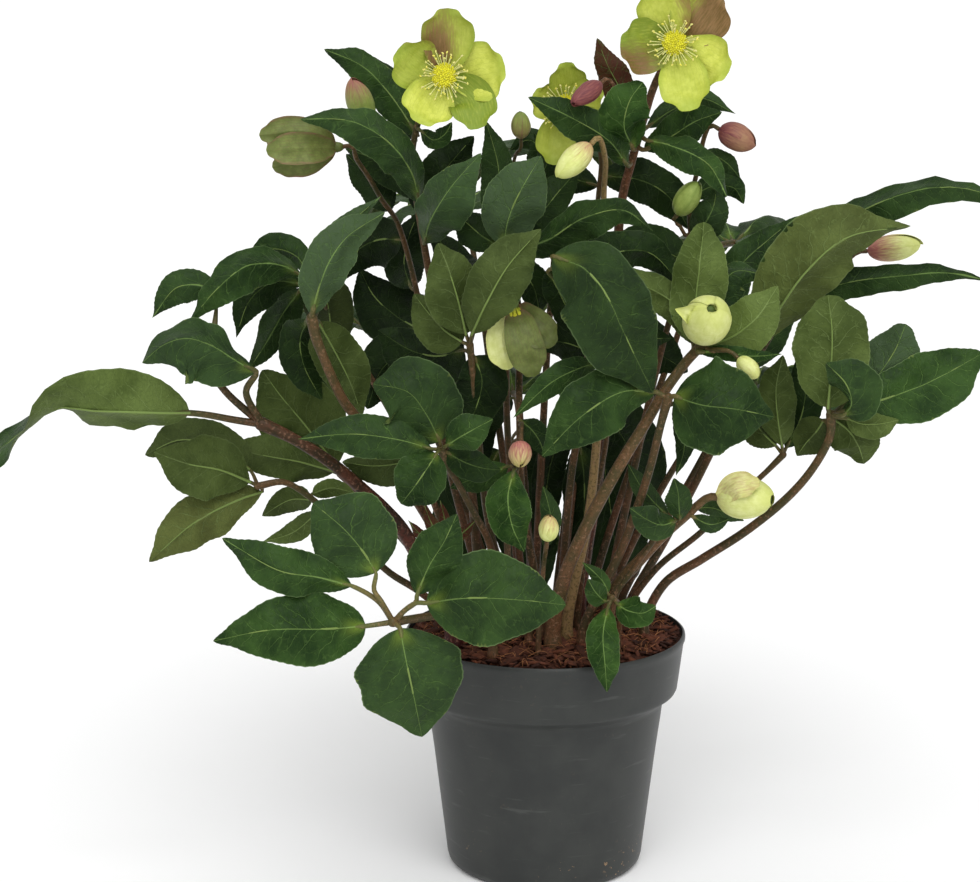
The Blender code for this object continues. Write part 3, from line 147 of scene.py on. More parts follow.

# The tables below hold one entry for each node, with the blades that grow on it in the indented rows, and a
# row that ends with a comma goes on in the next. Fields are parted by semicolons and points by commas.
# The row of a blade, which is a leaflet, bract or sepal, gives its midrib from base to tip, its half width in
# mm, its tilts, its form, with the word under where the viewer sees its underside, its tone, and the points
# of the twig that leads to it. A tilt is how far the half on the left and the half on the right of the
# midrib, seen from base to tip, turn away from the viewer, in degrees; more than one pair is spread along
# the midrib. A leaflet's tone is a name from TONES or its three numbers, (brightness, share of blue-grey
# painted sheen, share of bronze), whose brightness is painted light and shade. A sepal's is (share of deep
# green, brightness), whose brightness is painted light and shade, and whose deep green is partly the sepal's
# own colour and partly painted shade. A blade without a tone gets a random one.

# Buds: base; tip; half width in mm; skin; share of stain at the base and its change towards the tip.
BUD_TABLE = """
bud_opening; 703 334 66; 702 290 80; 17; cream; 0 0
bud_low_right; 718 497 68; 775 496 78; 12.5; cream; .35 -.5
bud_far_right; 867 251 -12; 921 245 -6; 8; cream; .95 -1.1
bud_cream; 591 144 44; 558 176 50; 7.5; cream; .6 -.8
bud_pink_right; 719 129 8; 754 145 16; 8; pink; .9 -.9
bud_pink_top; 601 83 26; 573 103 40; 5.5; pink; .8 0
bud_green; 521 139 -8; 521 111 -6; 5.5; green; .5 -.3
bud_left; 368 124 0; 352 79 8; 8; green; -.3 1
bud_half_open; 677 215 14; 698 182 20; 7; green; 0 0
bud_beside_opening; 738 358 76; 758 376 82; 5; cream; .1 .1
bud_centre_low; 521 441 66; 520 466 74; 6.5; cream; .9 -.5
bud_low_middle; 547 541 84; 550 516 88; 5.5; cream; 0 .5
"""

# Open flowers: middle; a point in front of it.
FLOWER_TABLE = """
flower_left; 445 77 24; 441 70 64
 445 77 24, 447 48 26, 448 8 34; 17; 4 4; sepal; .35 .9
 445 77 24, 472 73 24, 505 66 32; 19; 6 2; sepal; .05 1.08
 445 77 24, 470 98 27, 478 129 38; 15; 4 6; sepal; .95 .82
 445 77 24, 432 97 28, 420 124 40; 17; 6 4; sepal; 0 1.1
 445 77 24, 420 67 27, 398 49 37; 17; 4 6; sepal; .5 .98
flower_right; 675 44 22; 672 38 62
 675 44 22, 668 18 24, 652 -16 32; 17; 4 4; sepal; .15 1.02
 675 44 22, 696 20 24, 716 -8 30; 20; 6 2; sepal; .2 .9
 675 44 22, 700 58 27, 729 72 37; 17; 4 6; sepal; 0 1.1
 675 44 22, 682 72 28, 690 111 42; 16; 6 4; sepal; .2 1.08
 675 44 22, 650 46 27, 620 46 38; 18; 4 6; sepal; .85 .78
flower_hidden; 566 108 -14; 560 102 24
 566 108 -14, 568 88 -12, 566 62 -4; 12; 4 4; sepal
 566 108 -14, 584 98 -12, 602 88 -6; 12; 4 4; sepal
 566 108 -14, 582 122 -12, 600 134 -6; 12; 4 4; sepal
 566 108 -14, 558 132 -12, 553 165 -4; 13; 4 4; sepal
 566 108 -14, 552 104 -13, 533 94 -9; 12; 4 4; sepal
flower_nodding; 338 147 2; 300 150 0
 337 147 3, 308 132 12, 259 135 10; 13; 20 30; sepal
 337 148 3, 308 148 22, 266 150 20; 13; 14 14; sepal
 337 148 2, 310 160 8, 272 167 6; 12; 30 20; sepal
 337 146 1, 308 138 -14, 266 140 -14; 13; -14 -14; sepal
 337 148 1, 310 156 -12, 274 160 -12; 12; -14 -14; sepal
flower_drooping; 514 305 46; 522 345 48
 514 306 47, 502 335 54, 508 370 52; 10; 20 20; sepal; 0 .95
 514 306 47, 522 335 62, 534 377 60; 12; 14 14; sepal; .1 .85
 515 306 46, 536 327 60, 555 345 62; 11; 20 20; sepal; .3 .8
 514 306 45, 512 335 34, 516 366 36; 12; -14 -14; sepal; .5 .7
 515 306 45, 530 330 34, 538 358 35; 11; -14 -14; sepal; .5 .7
"""

# Leaves that the picture shows: the stalk's place on the soil in mm, to the right and in front of the pot's
# axis; its course; its radii in mm at the soil and at the hub.
LEAF_TABLE = """
leaf_far_left; -62 42; 405 534 55, 385 510 62, 360 487 68, 330 462 75, 290 437 80, 262 424 82; 5.6 3.6
 190 413 90, 160 413 95, 128 412 98, 92 411 100, 57 408 100, 22 432 98, -18 466 92, -62 505 80; 29; 62 8,
66 0, 74 -36, 96 -86, 114 -112, 122 -122, 130 -130; folded under; 1.12 0 0; 235 420 85, 208 415 88
 256 372 100, 232 359 112, 212 346 120, 188 339 124, 164 345 124,
142 363 118; 27; 10 62; ovate; 1 .3 0; 246 392 92
 216 300 58, 205 287 62, 178 287 64, 152 318 58; 12; 15 30; lance; 1 .2 0; 226 392 84, 215 375 82,
214 335 66
leaf_low_left; -66 12; 420 592 20, 390 573 22, 360 545 26, 330 515 30, 303 492 34, 283 482 38,
258 486 42; 2.6 2
 250 482 46, 220 470 56, 188 464 60, 154 452 56; 21; 12 15; ovate under; .8 0 0
 250 470 26, 215 446 22, 180 440 18, 145 455 12; 20; 15 35; broad under; shaded
 262 492 38, 236 501 46, 194 523 52, 149 562 54; 19; 32 20; ovate under; 1 0 .1
 312 500 24, 290 500 14, 262 516 8; 10; 30 20; ovate under; shaded
 318 512 18, 292 533 6, 262 542 2; 8; 20 20; lance under; plain
 312 494 22, 332 488 12, 357 494 8; 7; 20 20; lance under; plain
leaf_behind_fork; -58 -18; 420 560 -22, 378 512 -20, 340 474 -14; 2.6 2
 336 466 -14, 305 425 -4, 280 395 0, 262 370 -2; 30; 15 20; broad under; .8 0 0
 338 462 -22, 322 420 -26, 308 385 -26, 300 350 -30; 19; 10 30; ovate; shaded
 334 472 -6, 300 462 6, 262 455 12, 226 444 12; 17; 30 10; ovate under; .75 0 0
leaf_upper_left; -56 -36; 425 480 -62, 375 385 -72, 335 320 -40, 306 280 24; 2.6 1.9
 302 276 34, 280 265 50, 247 266 64, 218 288 72, 190 321 70; 17; 20 50; ovate; plain
 303 284 22, 274 282 32, 250 300 36, 236 338 34; 15; 30 30; lance; shaded
 308 274 16, 296 256 12, 272 249 10, 246 264 8; 11; 45 10; ovate; plain
 302 288 16, 284 312 12, 268 340 10, 246 374 8; 14; 30 40; lance; shaded
 312 282 4, 326 300 -20, 330 332 -34, 318 372 -44; 18; 20 20; ovate under; deep
leaf_blue_left; -50 18; 440 540 24, 400 475 44, 357 418 58, 345 403 61, 334 382 64, 323 356 67, 316 338 69,
312 319 71; 4.2 3
 312 315 74, 319 288 84, 329 262 87, 346 238 82, 385 212 62; 17; 28 34; broad; bloom
 316 312 62, 325 272 60, 343 232 54, 381 196 40; 12; 30 30; lance; 1.1 .6 0
 318 322 60, 334 350 46, 350 382 38, 362 416 30; 17; 15 15; ovate under; .8 0 0
 308 320 60, 300 340 42, 304 366 34, 322 400 28; 15; 20 15; ovate; shaded
leaf_front_low; -36 66; 470 612 92, 432 616 120, 393 622 147; 3.2 2.6
 376 573 150, 364 553 154, 345 530 155, 313 503 148; 29; 14 14; broad; 1.05 .25 0; 381 601 150, 374 590 150
 352 586 150, 318 577 162, 280 571 168, 222 538 160; 15; 30 12; ovate; 1.1 .1 0; 380 603 148, 368 594 148
 366 626 151, 325 629 165, 270 630 172, 213 641 165; 22; 10 14; rounded; 1.15 .05 0
 400 628 152, 406 660 164, 415 702 166, 422 737 158; 36; 18 20; broad; 1.05 .25 0
 426 603 155, 470 598 171, 520 600 178, 566 605 172; 29; 18 12; broad; 1 .15 0; 403 612 150, 416 603 153
 417 595 152, 429 566 159, 444 542 161, 457 514 155; 16.5; 18 22; ovate; plain; 404 611 149, 416 602 151
leaf_middle_left; -30 28; 490 545 44, 475 515 58, 460 487 72, 446 463 84, 441 449 90; 3 2
 440 442 92, 426 414 101, 408 392 105, 373 384 100; 28; 8 16; broad; .8 .2 0
 432 449 96, 400 440 106, 352 434 111, 298 439 106; 15; 14 22; lance; .95 .2 0
 446 446 97, 460 437 104, 476 428 106, 493 419 104; 12; 14 20; ovate; plain
 437 453 97, 426 470 110, 415 486 114, 401 504 112; 18; 20 20; round; .9 .1 0
 446 452 88, 464 462 86, 482 468 84, 501 470 80; 11; 25 15; ovate; shaded
 436 456 82, 408 462 74, 374 466 70, 342 462 66; 15; 22 22; ovate under; shaded
leaf_centre_left; -22 2; 488 520 10, 478 430 30, 470 345 46; 2.8 2
 466 334 52, 458 300 60, 448 268 60, 438 243 54; 20; 12 20; broad under; .74 0 0
 472 334 58, 486 304 74, 508 266 78, 541 229 68; 19; 12 20; ovate under; .7 0 0
 462 342 46, 444 330 42, 426 310 38, 414 294 34; 17; 20 20; broad under; .75 0 0
 474 356 42, 482 380 42, 476 408 38, 466 428 32; 18; 15 15; broad; deep
 464 350 38, 436 356 20, 410 350 8, 378 330 -2; 22; 15 25; broad; deep
 474 330 40, 470 290 0, 450 255 -40, 425 222 -56; 16; 20 20; broad; deep
leaf_upper_middle; -14 -16; 508 440 -6, 506 330 8, 505 262 24; 2.8 2
 503 246 34, 509 217 44, 522 188 48, 541 156 40; 21; 16 18; broad; 1.1 .7 0
 512 250 32, 548 240 54, 582 219 70, 622 210 76, 653 231 68; 15; 48 22; ovate; .75 .1 0
 498 246 26, 482 236 24, 468 224 20, 455 213 14; 13; 15 25; ovate; shaded
 506 238 14, 500 205 2, 498 165 -6, 486 121 -12; 13; 20 30; ovate; .8 .2 0
 514 244 16, 540 215 6, 560 190 -4, 580 168 -16; 14; 20 20; ovate; shaded
 509 266 16, 522 272 8, 534 288 2, 540 316 -4; 13; 20 20; ovate; shaded
leaf_centre; 10 6; 572 470 28, 588 380 36, 582 316 52, 560 268 74; 3 2.2
 552 256 84, 583 268 96, 604 291 104, 619 322 108, 633 352 106, 653 393 95; 33; 40 16; broad; .72 .25 0
 548 270 70, 562 298 52, 576 326 40, 594 350 30; 12; 30 30; lance; shaded
 556 262 60, 600 255 32, 648 252 16, 684 288 6; 16; 30 30; ovate; shaded
 552 268 50, 574 254 20, 592 244 -4, 614 232 -18; 10; 20 40; lance; deep
leaf_narrow; 22 -2; 590 520 6, 606 440 26, 608 372 50; 2.4 1.8
 602 362 58, 580 368 70, 552 382 76, 513 418 74; 10; 22 26; lance; 1.1 .1 0
 610 364 44, 626 350 30, 646 340 18, 672 338 8; 14; 22 26; ovate; shaded
 602 366 40, 584 350 26, 560 342 14, 530 345 4; 15; 25 20; ovate; deep
leaf_low_middle; -12 34; 508 556 52, 511 500 62, 517 462 64; 2.6 2
 514 470 70, 508 497 82, 512 525 86, 524 552 82; 15; 16 20; ovate; fresh
 508 466 62, 490 474 60, 470 480 58, 450 488 52; 10; 20 30; ovate; plain
leaf_long_right; 58 -22; 665 540 -30, 702 470 -22, 735 400 0, 749 358 32; 3.2 2.5
 753 344 42, 777 312 52, 806 272 62, 846 238 68, 911 226 58; 29; 15 45, 15 45, 20 50,
50 70; ovate under; .95 0 .05
 757 334 30, 790 270 26, 838 225 36, 900 195 50, 950 187 56, 994 197 54, 1030 224 44; 16; 60 20, 60 20,
60 20; lance; .95 .15 0
 756 340 20, 790 306 16, 842 284 22, 900 276 30, 948 273 30, 990 281 24; 12.5; 40 25; lance; .9 .1 0
 744 352 26, 730 320 8, 738 270 -10, 768 240 -20, 798 216 -26; 14; 25 35; ovate; plain
leaf_oval_right; 66 20; 665 583 24, 702 559 30, 746 531 38, 788 497 46, 813 468 52, 830 436 58,
831 415 62; 3.2 2.6
 828 408 66, 831 370 72, 832 330 72, 828 295 66; 25.5; 14 14; round under; 1 0 0
 840 408 50, 872 382 46, 894 352 44, 906 324 40; 21; 20 16; round; bloom
 842 412 62, 885 399 60, 930 382 60, 983 353 54; 22; 28 6; late; 1.2 .1 0
 844 415 76, 852 404 86, 846 384 92, 826 363 92; 20; 60 10; ovate; 1 .2 0
 832 418 56, 848 430 56, 858 445 56, 864 464 50; 18; 24 30; round under; .85 0 0
 846 418 66, 862 424 70, 880 424 70, 899 420 66; 10; 35 15; ovate under; plain
 824 420 50, 816 432 44, 806 443 40, 797 456 34; 14; 20 20; ovate under; shaded
leaf_slim_right; 56 -8; 655 570 -8, 700 533 -4, 735 500 2, 765 473 8, 783 455 12; 2.4 1.9
 782 446 14, 778 420 22, 776 390 22, 783 355 14; 14; 20 15; ovate under; .9 0 0
 786 448 8, 800 420 6, 806 385 2, 800 350 -6; 14; 15 20; ovate; shaded
 776 446 12, 762 432 8, 752 415 2, 748 392 -6; 13; 15 30; ovate under; shaded
leaf_dark_right; 24 40; 622 548 50, 648 475 62, 662 420 78, 668 398 84; 3.4 2.6
 674 396 88, 702 405 102, 735 409 106, 774 417 98; 31; 14 14; rounded; .85 .1 0
 656 392 84, 622 392 96, 582 416 102, 542 456 96; 22; 20 26; ovate; .95 .1 0
 674 404 78, 683 425 76, 684 450 72, 676 476 66; 8; 30 30; lance; shaded
leaf_low_right; 30 44; 640 560 52, 664 528 58, 678 516 60; 2 1.6
 680 520 62, 679 504 70, 678 492 72, 674 478 68; 9; 16 20; broad
 676 521 62, 661 525 70, 646 519 74, 630 508 74; 11; 20 20; broad
 668 516 50, 652 500 46, 640 485 44, 628 464 40; 7; 20 20; ovate
leaf_base_sprout; 46 56; 620 606 72, 612 598 78; 2.4 1.8
 608 607 82, 603 636 104, 605 664 112, 607 692 108; 11; 12 16; ovate; fresh
 617 604 80, 629 611 88, 643 613 92, 656 606 90; 11; 14 20; broad; fresh
 606 602 78, 600 597 84, 594 590 86, 588 579 84; 8; 14 20; broad; plain
 608 594 74, 604 583 74, 594 572 74, 582 562 70; 5; 14 20; lance; plain
"""

# Leaves on the side that the picture doesn't show, each with five leaflets spread like a hand: the hub in
# mm; the direction it points in degrees and its length in mm; the stalk's place on the soil; the tone. The
# rows are leaflets that hang from the stalk behind the stems, toned deep: dark sheets that paint the shade
# there.
BACK_TABLE = """
leaf_back_left; -128 128 352; 135 96; -34 -54
leaf_back_mid_left; -62 176 432; 108 98; -16 -62
leaf_back_mid_right; 48 178 372; 74 100; 10 -64; plain
 600 430 -142, 606 478 -144, 614 536 -142, 618 604 -136; 30; 10 10; broad; deep
leaf_back_right; 138 140 412; 46 90; 34 -54
leaf_back_low_right; 150 96 312; 22 84; 48 -58
leaf_back_low; -20 172 296; 96 90; -8 -72; plain
 512 440 -146, 520 486 -148, 528 540 -144, 534 606 -138; 27; 10 10; broad; deep
 500 450 -142, 480 484 -144, 462 530 -142, 450 592 -136; 25; 10 10; broad; deep
leaf_back_top; 8 96 476; 96 80; -6 -46
"""

# Flowering stems and young shoots: as for a leaf, and then the flower or bud that the stem carries, or the
# word bare. A twig row is the course of a side stalk, and the bud that it carries.
STEM_TABLE = """
stem_flower_left; -44 -6; 470 480 -22, 440 330 -24, 420 220 -10, 412 160 0, 420 118 2,
436 94 4; 3.6 2; flower_left
 420 205 -4, 410 170 22, 386 140 38, 350 121 46, 300 119 46; 17; 20 48; ovate; 1.1 .2 0
 418 136 0, 388 92 -12, 362 66 -16, 324 49 -20; 14; 20 35; ovate; plain
 424 244 0, 432 218 34, 452 186 46, 481 153 38; 21; 48 10; ovate; 1.2 .4 0
 416 140 -2, 400 104 -22, 388 78 -28, 372 56 -34; 10; 30 20; ovate; shaded
 420 130 8, 434 140 18, 445 134 22, 452 122 22; 7; 20 30; ovate; plain
 426 196 -14, 400 176 -24, 376 160 -28, 345 148 -32; 13; 20 30; ovate; shaded
 419 214 -18, 430 190 -30, 448 166 -34, 474 136 -36; 17; 20 20; ovate; deep
 twig; 408 168 -6, 396 150 -10, 382 138 -8; bud_left
stem_nodding_flower; -42 -34; 450 470 -58, 425 330 -62, 398 224 -40, 382 200 -24, 368 176 -12,
356 158 -2; 3 1.6; flower_nodding
 391 211 -32, 378 190 -38, 364 172 -44, 346 154 -50; 14; 25 25; ovate; shaded
 402 240 -56, 378 240 -66, 356 252 -72, 342 280 -74; 20; 20 30; ovate; deep
 411 288 -65, 404 262 -86, 409 236 -94, 419 212 -98; 15; 24 18; ovate; deep
 420 330 -68, 396 316 -88, 374 296 -98, 360 270 -102; 24; 20 20; broad; deep
 425 348 -64, 402 354 -74, 382 369 -76, 367 409 -72; 20; 20 20; broad; deep
stem_flower_right; 24 -30; 600 460 -44, 612 330 -42, 622 200 -16, 632 160 -6, 644 118 2,
655 84 -2; 4.6 2.6; flower_right
 634 150 4, 624 124 28, 630 100 32, 643 82 28; 18; 16 20; round; 1.35 0 0
 628 166 2, 608 140 22, 572 118 30, 528 97 32; 13; 22 22; ovate; plain
 640 132 -8, 624 96 -16, 608 66 -16, 597 38 -20; 12; 20 25; ovate; 1 0 .85
 646 140 8, 672 146 24, 708 164 30, 727 197 26; 13; 48 14; ovate; 1.2 .1 0
 644 150 0, 672 136 10, 694 122 12, 722 112 10; 14; 20 30; ovate; plain
 646 128 -10, 672 110 -16, 700 98 -18, 736 114 -22; 9; 25 25; lance; 1.1 .3 0
 twig; 634 120 14, 620 96 22; bud_pink_top
stem_flower_back; 12 -44; 578 440 -74, 584 320 -70, 598 200 -36, 600 150 -36,
584 120 -36; 2.8 1.6; flower_hidden
 598 186 -40, 560 172 -52, 530 140 -60, 510 150 -66; 14; 20 20; ovate; shaded
 600 176 -36, 640 180 -44, 668 196 -50, 690 230 -54; 16; 20 20; ovate; shaded
 573 426 -80, 554 454 -88, 546 496 -92, 548 556 -91; 12; 20 20; broad; deep
 582 396 -82, 610 420 -102, 634 460 -112, 646 540 -114; 25; 20 20; broad; deep
 580 446 -68, 584 476 -64, 584 516 -64, 582 566 -66; 17; 20 20; broad; deep
 590 330 -76, 622 338 -84, 652 350 -88, 688 372 -90; 22; 20 20; broad; deep
stem_buds_right; 42 -12; 636 460 -14, 664 340 -10, 690 250 -6, 690 205 -2, 700 160 0,
704 138 2; 3.2 1.6; bud_pink_right
 694 240 0, 706 222 16, 714 205 18, 716 186 12; 13; 20 20; ovate
 703 152 2, 716 156 4, 728 164 4, 740 178 2; 7; 30 20; ovate
 692 196 -6, 714 186 -12, 734 188 -14, 744 204 -18; 10; 25 25; ovate
 688 262 -12, 660 250 -26, 632 244 -34, 606 250 -40; 16; 20 20; ovate
 twig; 686 236 6, 678 224 12; bud_half_open
stem_bud_centre; -2 18; 522 500 40, 520 430 46, 519 380 26, 521 335 12, 518 302 14,
514 290 30; 3.2 2; flower_drooping
 520 420 50, 532 430 58, 540 442 58, 545 458 54; 9; 20 20; ovate
 twig; 522 424 56; bud_centre_low
stem_bud_right; 4 40; 565 575 50, 580 540 54, 600 500 60, 624 458 66, 645 424 66, 664 392 62,
686 362 58; 5 3.2; bud_opening
 698 342 52, 696 300 42, 700 264 42, 704 222 34; 19; 25 10; round under; 1.2 0 0
 700 344 50, 716 300 34, 734 272 34, 768 276 32; 15; 60 0; ovate; 1.1 .2 0
 702 346 58, 730 338 66, 756 318 72, 778 286 68; 18; 10 20; ovate under; 1.15 0 0
 694 344 48, 676 306 32, 640 284 36, 600 271 40; 12; 20 30; ovate under; 1 0 0
 698 352 66, 724 352 70, 750 356 70, 783 354 68; 6; 30 20; lance; fresh
 twig; 706 350 64, 722 350 72; bud_beside_opening
stem_bud_far_right; 54 -38; 690 480 -48, 745 380 -54, 796 300 -34, 824 276 -22,
844 263 -16; 2.8 1.6; bud_far_right
 752 370 -62, 768 330 -66, 776 290 -70, 764 250 -76; 17; 20 20; ovate
 790 306 -40, 806 262 -46, 830 232 -52, 860 216 -58; 12; 20 30; ovate
stem_bud_low_right; 40 30; 614 590 36, 640 560 44, 664 535 48, 685 517 54; 5.2 2.6; bud_low_right
 692 516 58, 708 524 64, 716 524 64, 729 519 60; 6; 14 20; ovate
 696 508 56, 712 508 52, 726 513 50, 744 521 48; 6; 20 20; ovate
stem_tan; 14 20; 588 520 30, 596 450 34, 600 380 20, 602 280 0, 604 190 4, 605 158 26; 3.6 1.8; bud_cream
stem_small_bud; -8 -56; 520 400 -70, 514 280 -50, 512 180 -32, 516 154 -16; 2.2 1.2; bud_green
 510 214 -26, 530 190 -36, 548 158 -44, 534 132 -50; 11; 20 20; ovate; shaded
 512 398 -76, 480 412 -86, 466 452 -92, 462 526 -90; 20; 20 20; broad; deep
young_shoot_pink; -40 34; 446 560 38, 444 548 40; 2.6 2; bare
 443 544 42, 436 532 46, 430 520 46, 424 504 42; 5.5; 30 30; lance; 1.3 0 .9
 445 540 40, 446 528 40, 444 516 38, 440 500 34; 4.5; 30 30; lance; 1.3 0 .9
 446 546 38, 456 538 36, 466 530 34, 476 520 28; 5; 30 30; lance; 1.3 0 .9
 440 548 42, 428 540 44, 418 532 42, 408 520 36; 4.5; 30 30; lance; 1.3 0 .9
young_shoot; -6 62; 544 562 72; 2 1.4; bud_low_middle
 545 548 70, 551 520 64, 548 503 62, 543 486 60; 7; 16 20; ovate
"""

Blade = namedtuple("Blade", "rib width tilt form face tone twig seen")
Shoot = namedtuple("Shoot", "path radius blades twigs hub")
Flower = namedtuple("Flower", "middle nose sepals")
Bud = namedtuple("Bud", "base tip width skin stain change")


def at(across, down, near):
    ray = LOOK * FOCAL_PIXELS
    ray += Vector((across - PICTURE_MIDDLE[0], 0, 0)) - LOOK_UP * (down - PICTURE_MIDDLE[1])
    return EYE + ray * ((-near * MM - EYE.y) / ray.y)


def entries(table):
    """Each entry's own fields, and those of the rows under it."""
    found = []
    for line in table.strip("\n").replace(",\n", ", ").splitlines():
        if line.startswith(" "):
            found[-1][1].append(line[1:].split("; "))
        else:
            found.append((line.split("; "), []))
    return found


def numbers(text):
    return [float(x) for x in text.split()]


def places(text):
    return [at(*numbers(place)) for place in text.split(", ")] if text else []


def read_tone(text):
    return TONES.get(text) or tuple(numbers(text))


def read_blade(row):
    rib, width, tilt, kind, tone, twig = [*row, "", ""][:6]
    form, *under = kind.split()
    return Blade(places(rib), float(width) * MM, [numbers(pair) for pair in tilt.split(", ")], FORMS[form],
                 "under" if under else "top", read_tone(tone), places(twig), "front")


def from_soil(x, near):
    """The first two points of a stalk, which leaves the soil upright."""
    foot = Vector((x * MM, -near * MM, SOIL_TOP + SEAT_GAP))
    return [foot, foot + Vector((0, 0, STALK_FOOT))]


def neck(name):
    """The last two points of a stem, just short of the flower or bud and in line with it."""
    if name in BUDS:
        bud = BUDS[name]
        base, axis = bud.base, (bud.tip - bud.base).normalized()
    else:
        flower = FLOWERS[name]
        axis = (flower.nose - flower.middle).normalized()
        base = flower.middle - axis * RECEPTACLE
    return [base - axis * NECK, base - axis * SEAT_GAP]


def read_shoots(table):
    """The leaves or stems of a table."""
    found = {}
    for (name, foot, course, radius, *end), rows in entries(table):
        path = from_soil(*numbers(foot)) + places(course)
        if end and end[0] != "bare":
            path += neck(end[0])
        blades = [read_blade(row) for row in rows if row[0] != "twig"]
        twigs = [places(row[1]) + neck(row[2]) for row in rows if row[0] == "twig"]
        found[name] = Shoot(path, [x * MM for x in numbers(radius)], blades, twigs, not end)
    return found


def read_spread_leaves(table):
    """The leaves of a table of hubs."""
    found = {}
    for (name, middle, heading, foot, *tone), rows in entries(table):
        hub = Vector(numbers(middle)) * MM
        azimuth, length = numbers(heading)
        out = Vector((math.cos(math.radians(azimuth)), math.sin(math.radians(azimuth)), 0))
        path = from_soil(*numbers(foot))
        path += [path[0].lerp(hub, 0.5) + Vector((0, 0, 22 * MM)) - out * 8 * MM,
                 hub - out * 22 * MM + Vector((0, 0, -4 * MM)), hub]
        blades = []
        for turn, share, lift in ((-100, 0.7, 0), (-50, 0.9, 4), (0, 1, 8), (50, 0.9, 4), (100, 0.7, 0)):
            angle = math.radians(azimuth + turn)
            way = Vector((math.cos(angle), math.sin(angle), 0))
            reach = length * share * MM
            rib = [hub + way * 3 * MM, hub + way * reach * 0.35 + Vector((0, 0, (lift + 8) * MM)),
                   hub + way * reach * 0.7 + Vector((0, 0, (lift + 2) * MM)),
                   hub + way * reach * 0.96 + Vector((0, 0, lift * MM - reach * 0.35))]
            blades.append(Blade(rib, 0.23 * length * share * MM, [(18, 18)], FORMS["ovate"], "top",
                                read_tone("".join(tone)), [], "above"))
        found[name] = Shoot(path, (3 * MM, 2 * MM), blades + [read_blade(row) for row in rows], [], True)
    return found


BUDS = {
    name: Bud(at(*numbers(base)), at(*numbers(tip)), float(width) * MM, skin, *numbers(look))
    for (name, base, tip, width, skin, look), _ in entries(BUD_TABLE)
}
FLOWERS = {
    name: Flower(at(*numbers(middle)), at(*numbers(nose)), [read_blade(row) for row in rows])
    for (name, middle, nose), rows in entries(FLOWER_TABLE)
}
# The buds that have begun to open: the share of their length at which their mouths are, their base, tip and
# half width, and their outermost sepal, which stands off from the rest.
OPEN_BUDS = {
    "bud_opening": (0.978, (702, 331, 56), (712, 308, 98), 14.2 * MM,
                    "700 328 62, 690 314 88, 675 309 90; 8; 40 10; ovate"),
    "bud_low_right": (0.97, (718, 495, 60), (773, 500, 84), 12.8 * MM,
                      "718 499 70, 736 486 86, 760 482 88; 8; 20 20; sepal"),
}


def smooth(points, share):
    """The point at a share of the way along a smooth curve through the points. It is a centripetal
    Catmull-Rom curve, which stays tame where short and long pieces meet."""
    spans = len(points) - 1
    span = min(int(share * spans), spans - 1)
    b, c = points[span], points[span + 1]
    a = points[span - 1] if span else b * 2 - c
    d = points[span + 2] if span + 2 <= spans else c * 2 - b
    knots = [0.0]
    for p, q in ((a, b), (b, c), (c, d)):
        knots.append(knots[-1] + math.sqrt((q - p).length))
    t = knots[1] + (knots[2] - knots[1]) * (share * spans - span)
    row = [a, b, c, d]
    for reach in (1, 2):
        row = [
            p.lerp(q, (t - knots[i]) / (knots[i + reach] - knots[i]))
            for i, (p, q) in enumerate(zip(row, row[1:]))
        ]
    return row[0].lerp(row[1], (t - knots[1]) / (knots[2] - knots[1]))


def even_curve(points, steps):
    """steps + 1 points at even distances along the smooth curve."""
    fine = [smooth(points, i / CURVE_STEPS) for i in range(CURVE_STEPS + 1)]
    along = [0.0]
    for p, q in zip(fine, fine[1:]):
        along.append(along[-1] + (q - p).length)
    found = []
    i = 0
    for k in range(steps + 1):
        wanted = along[-1] * k / steps
        while i < CURVE_STEPS - 1 and along[i + 1] < wanted:
            i += 1
        t = (wanted - along[i]) / max(along[i + 1] - along[i], 1e-9)
        found.append(fine[i].lerp(fine[i + 1], min(t, 1)))
    return found


def outline(form, s):
    rise, fall = form
    peak = rise / (rise + fall)
    return (s / peak) ** rise * ((1 - s) / (1 - peak)) ** fall


def tilt_at(tilt, s):
    """The left and right tilts, in radians, at a share s of the midrib."""
    if len(tilt) == 1:
        return [math.radians(x) for x in tilt[0]]
    place = s * (len(tilt) - 1)
    i = min(int(place), len(tilt) - 2)
    t = place - i
    t = t * t * (3 - 2 * t)
    return [math.radians(tilt[i][k] * (1 - t) + tilt[i + 1][k] * t) for k in (0, 1)]


def nearest_on(curve, point):
    """The point of a chain of straight lines that is nearest to the given one."""
    found = []
    for p, q in zip(curve, curve[1:]):
        t = (point - p).dot(q - p) / (q - p).length_squared
        found.append(p.lerp(q, min(max(t, 0), 1)))
    return min(found, key=lambda p: (p - point).length)


def unit(vectors):
    return vectors / np.maximum(np.linalg.norm(vectors, axis=-1, keepdims=True), 1e-12)


def add_object(name, data):
    made = bpy.data.objects.new(name, data)
    bpy.context.scene.collection.objects.link(made)
    return made


class Line:
    """A smooth curve through some points, measured along its length."""

    def __init__(self, points):
        self.fine = np.array([smooth(points, i / CURVE_STEPS)[:] for i in range(CURVE_STEPS + 1)])
        steps = np.linalg.norm(np.diff(self.fine, axis=0), axis=1)
        self.along = np.concatenate([[0.0], np.cumsum(steps)])
        self.length = self.along[-1]

    def at(self, shares):
        """The points and directions at these shares of the length."""
        wanted = np.asarray(shares) * self.length
        reach = self.length * 0.02
        points, ahead, behind = (
            np.stack([np.interp(place, self.along, self.fine[:, k]) for k in range(3)], 1)
            for place in (wanted, wanted + reach, wanted - reach)
        )
        return points, unit(ahead - behind)


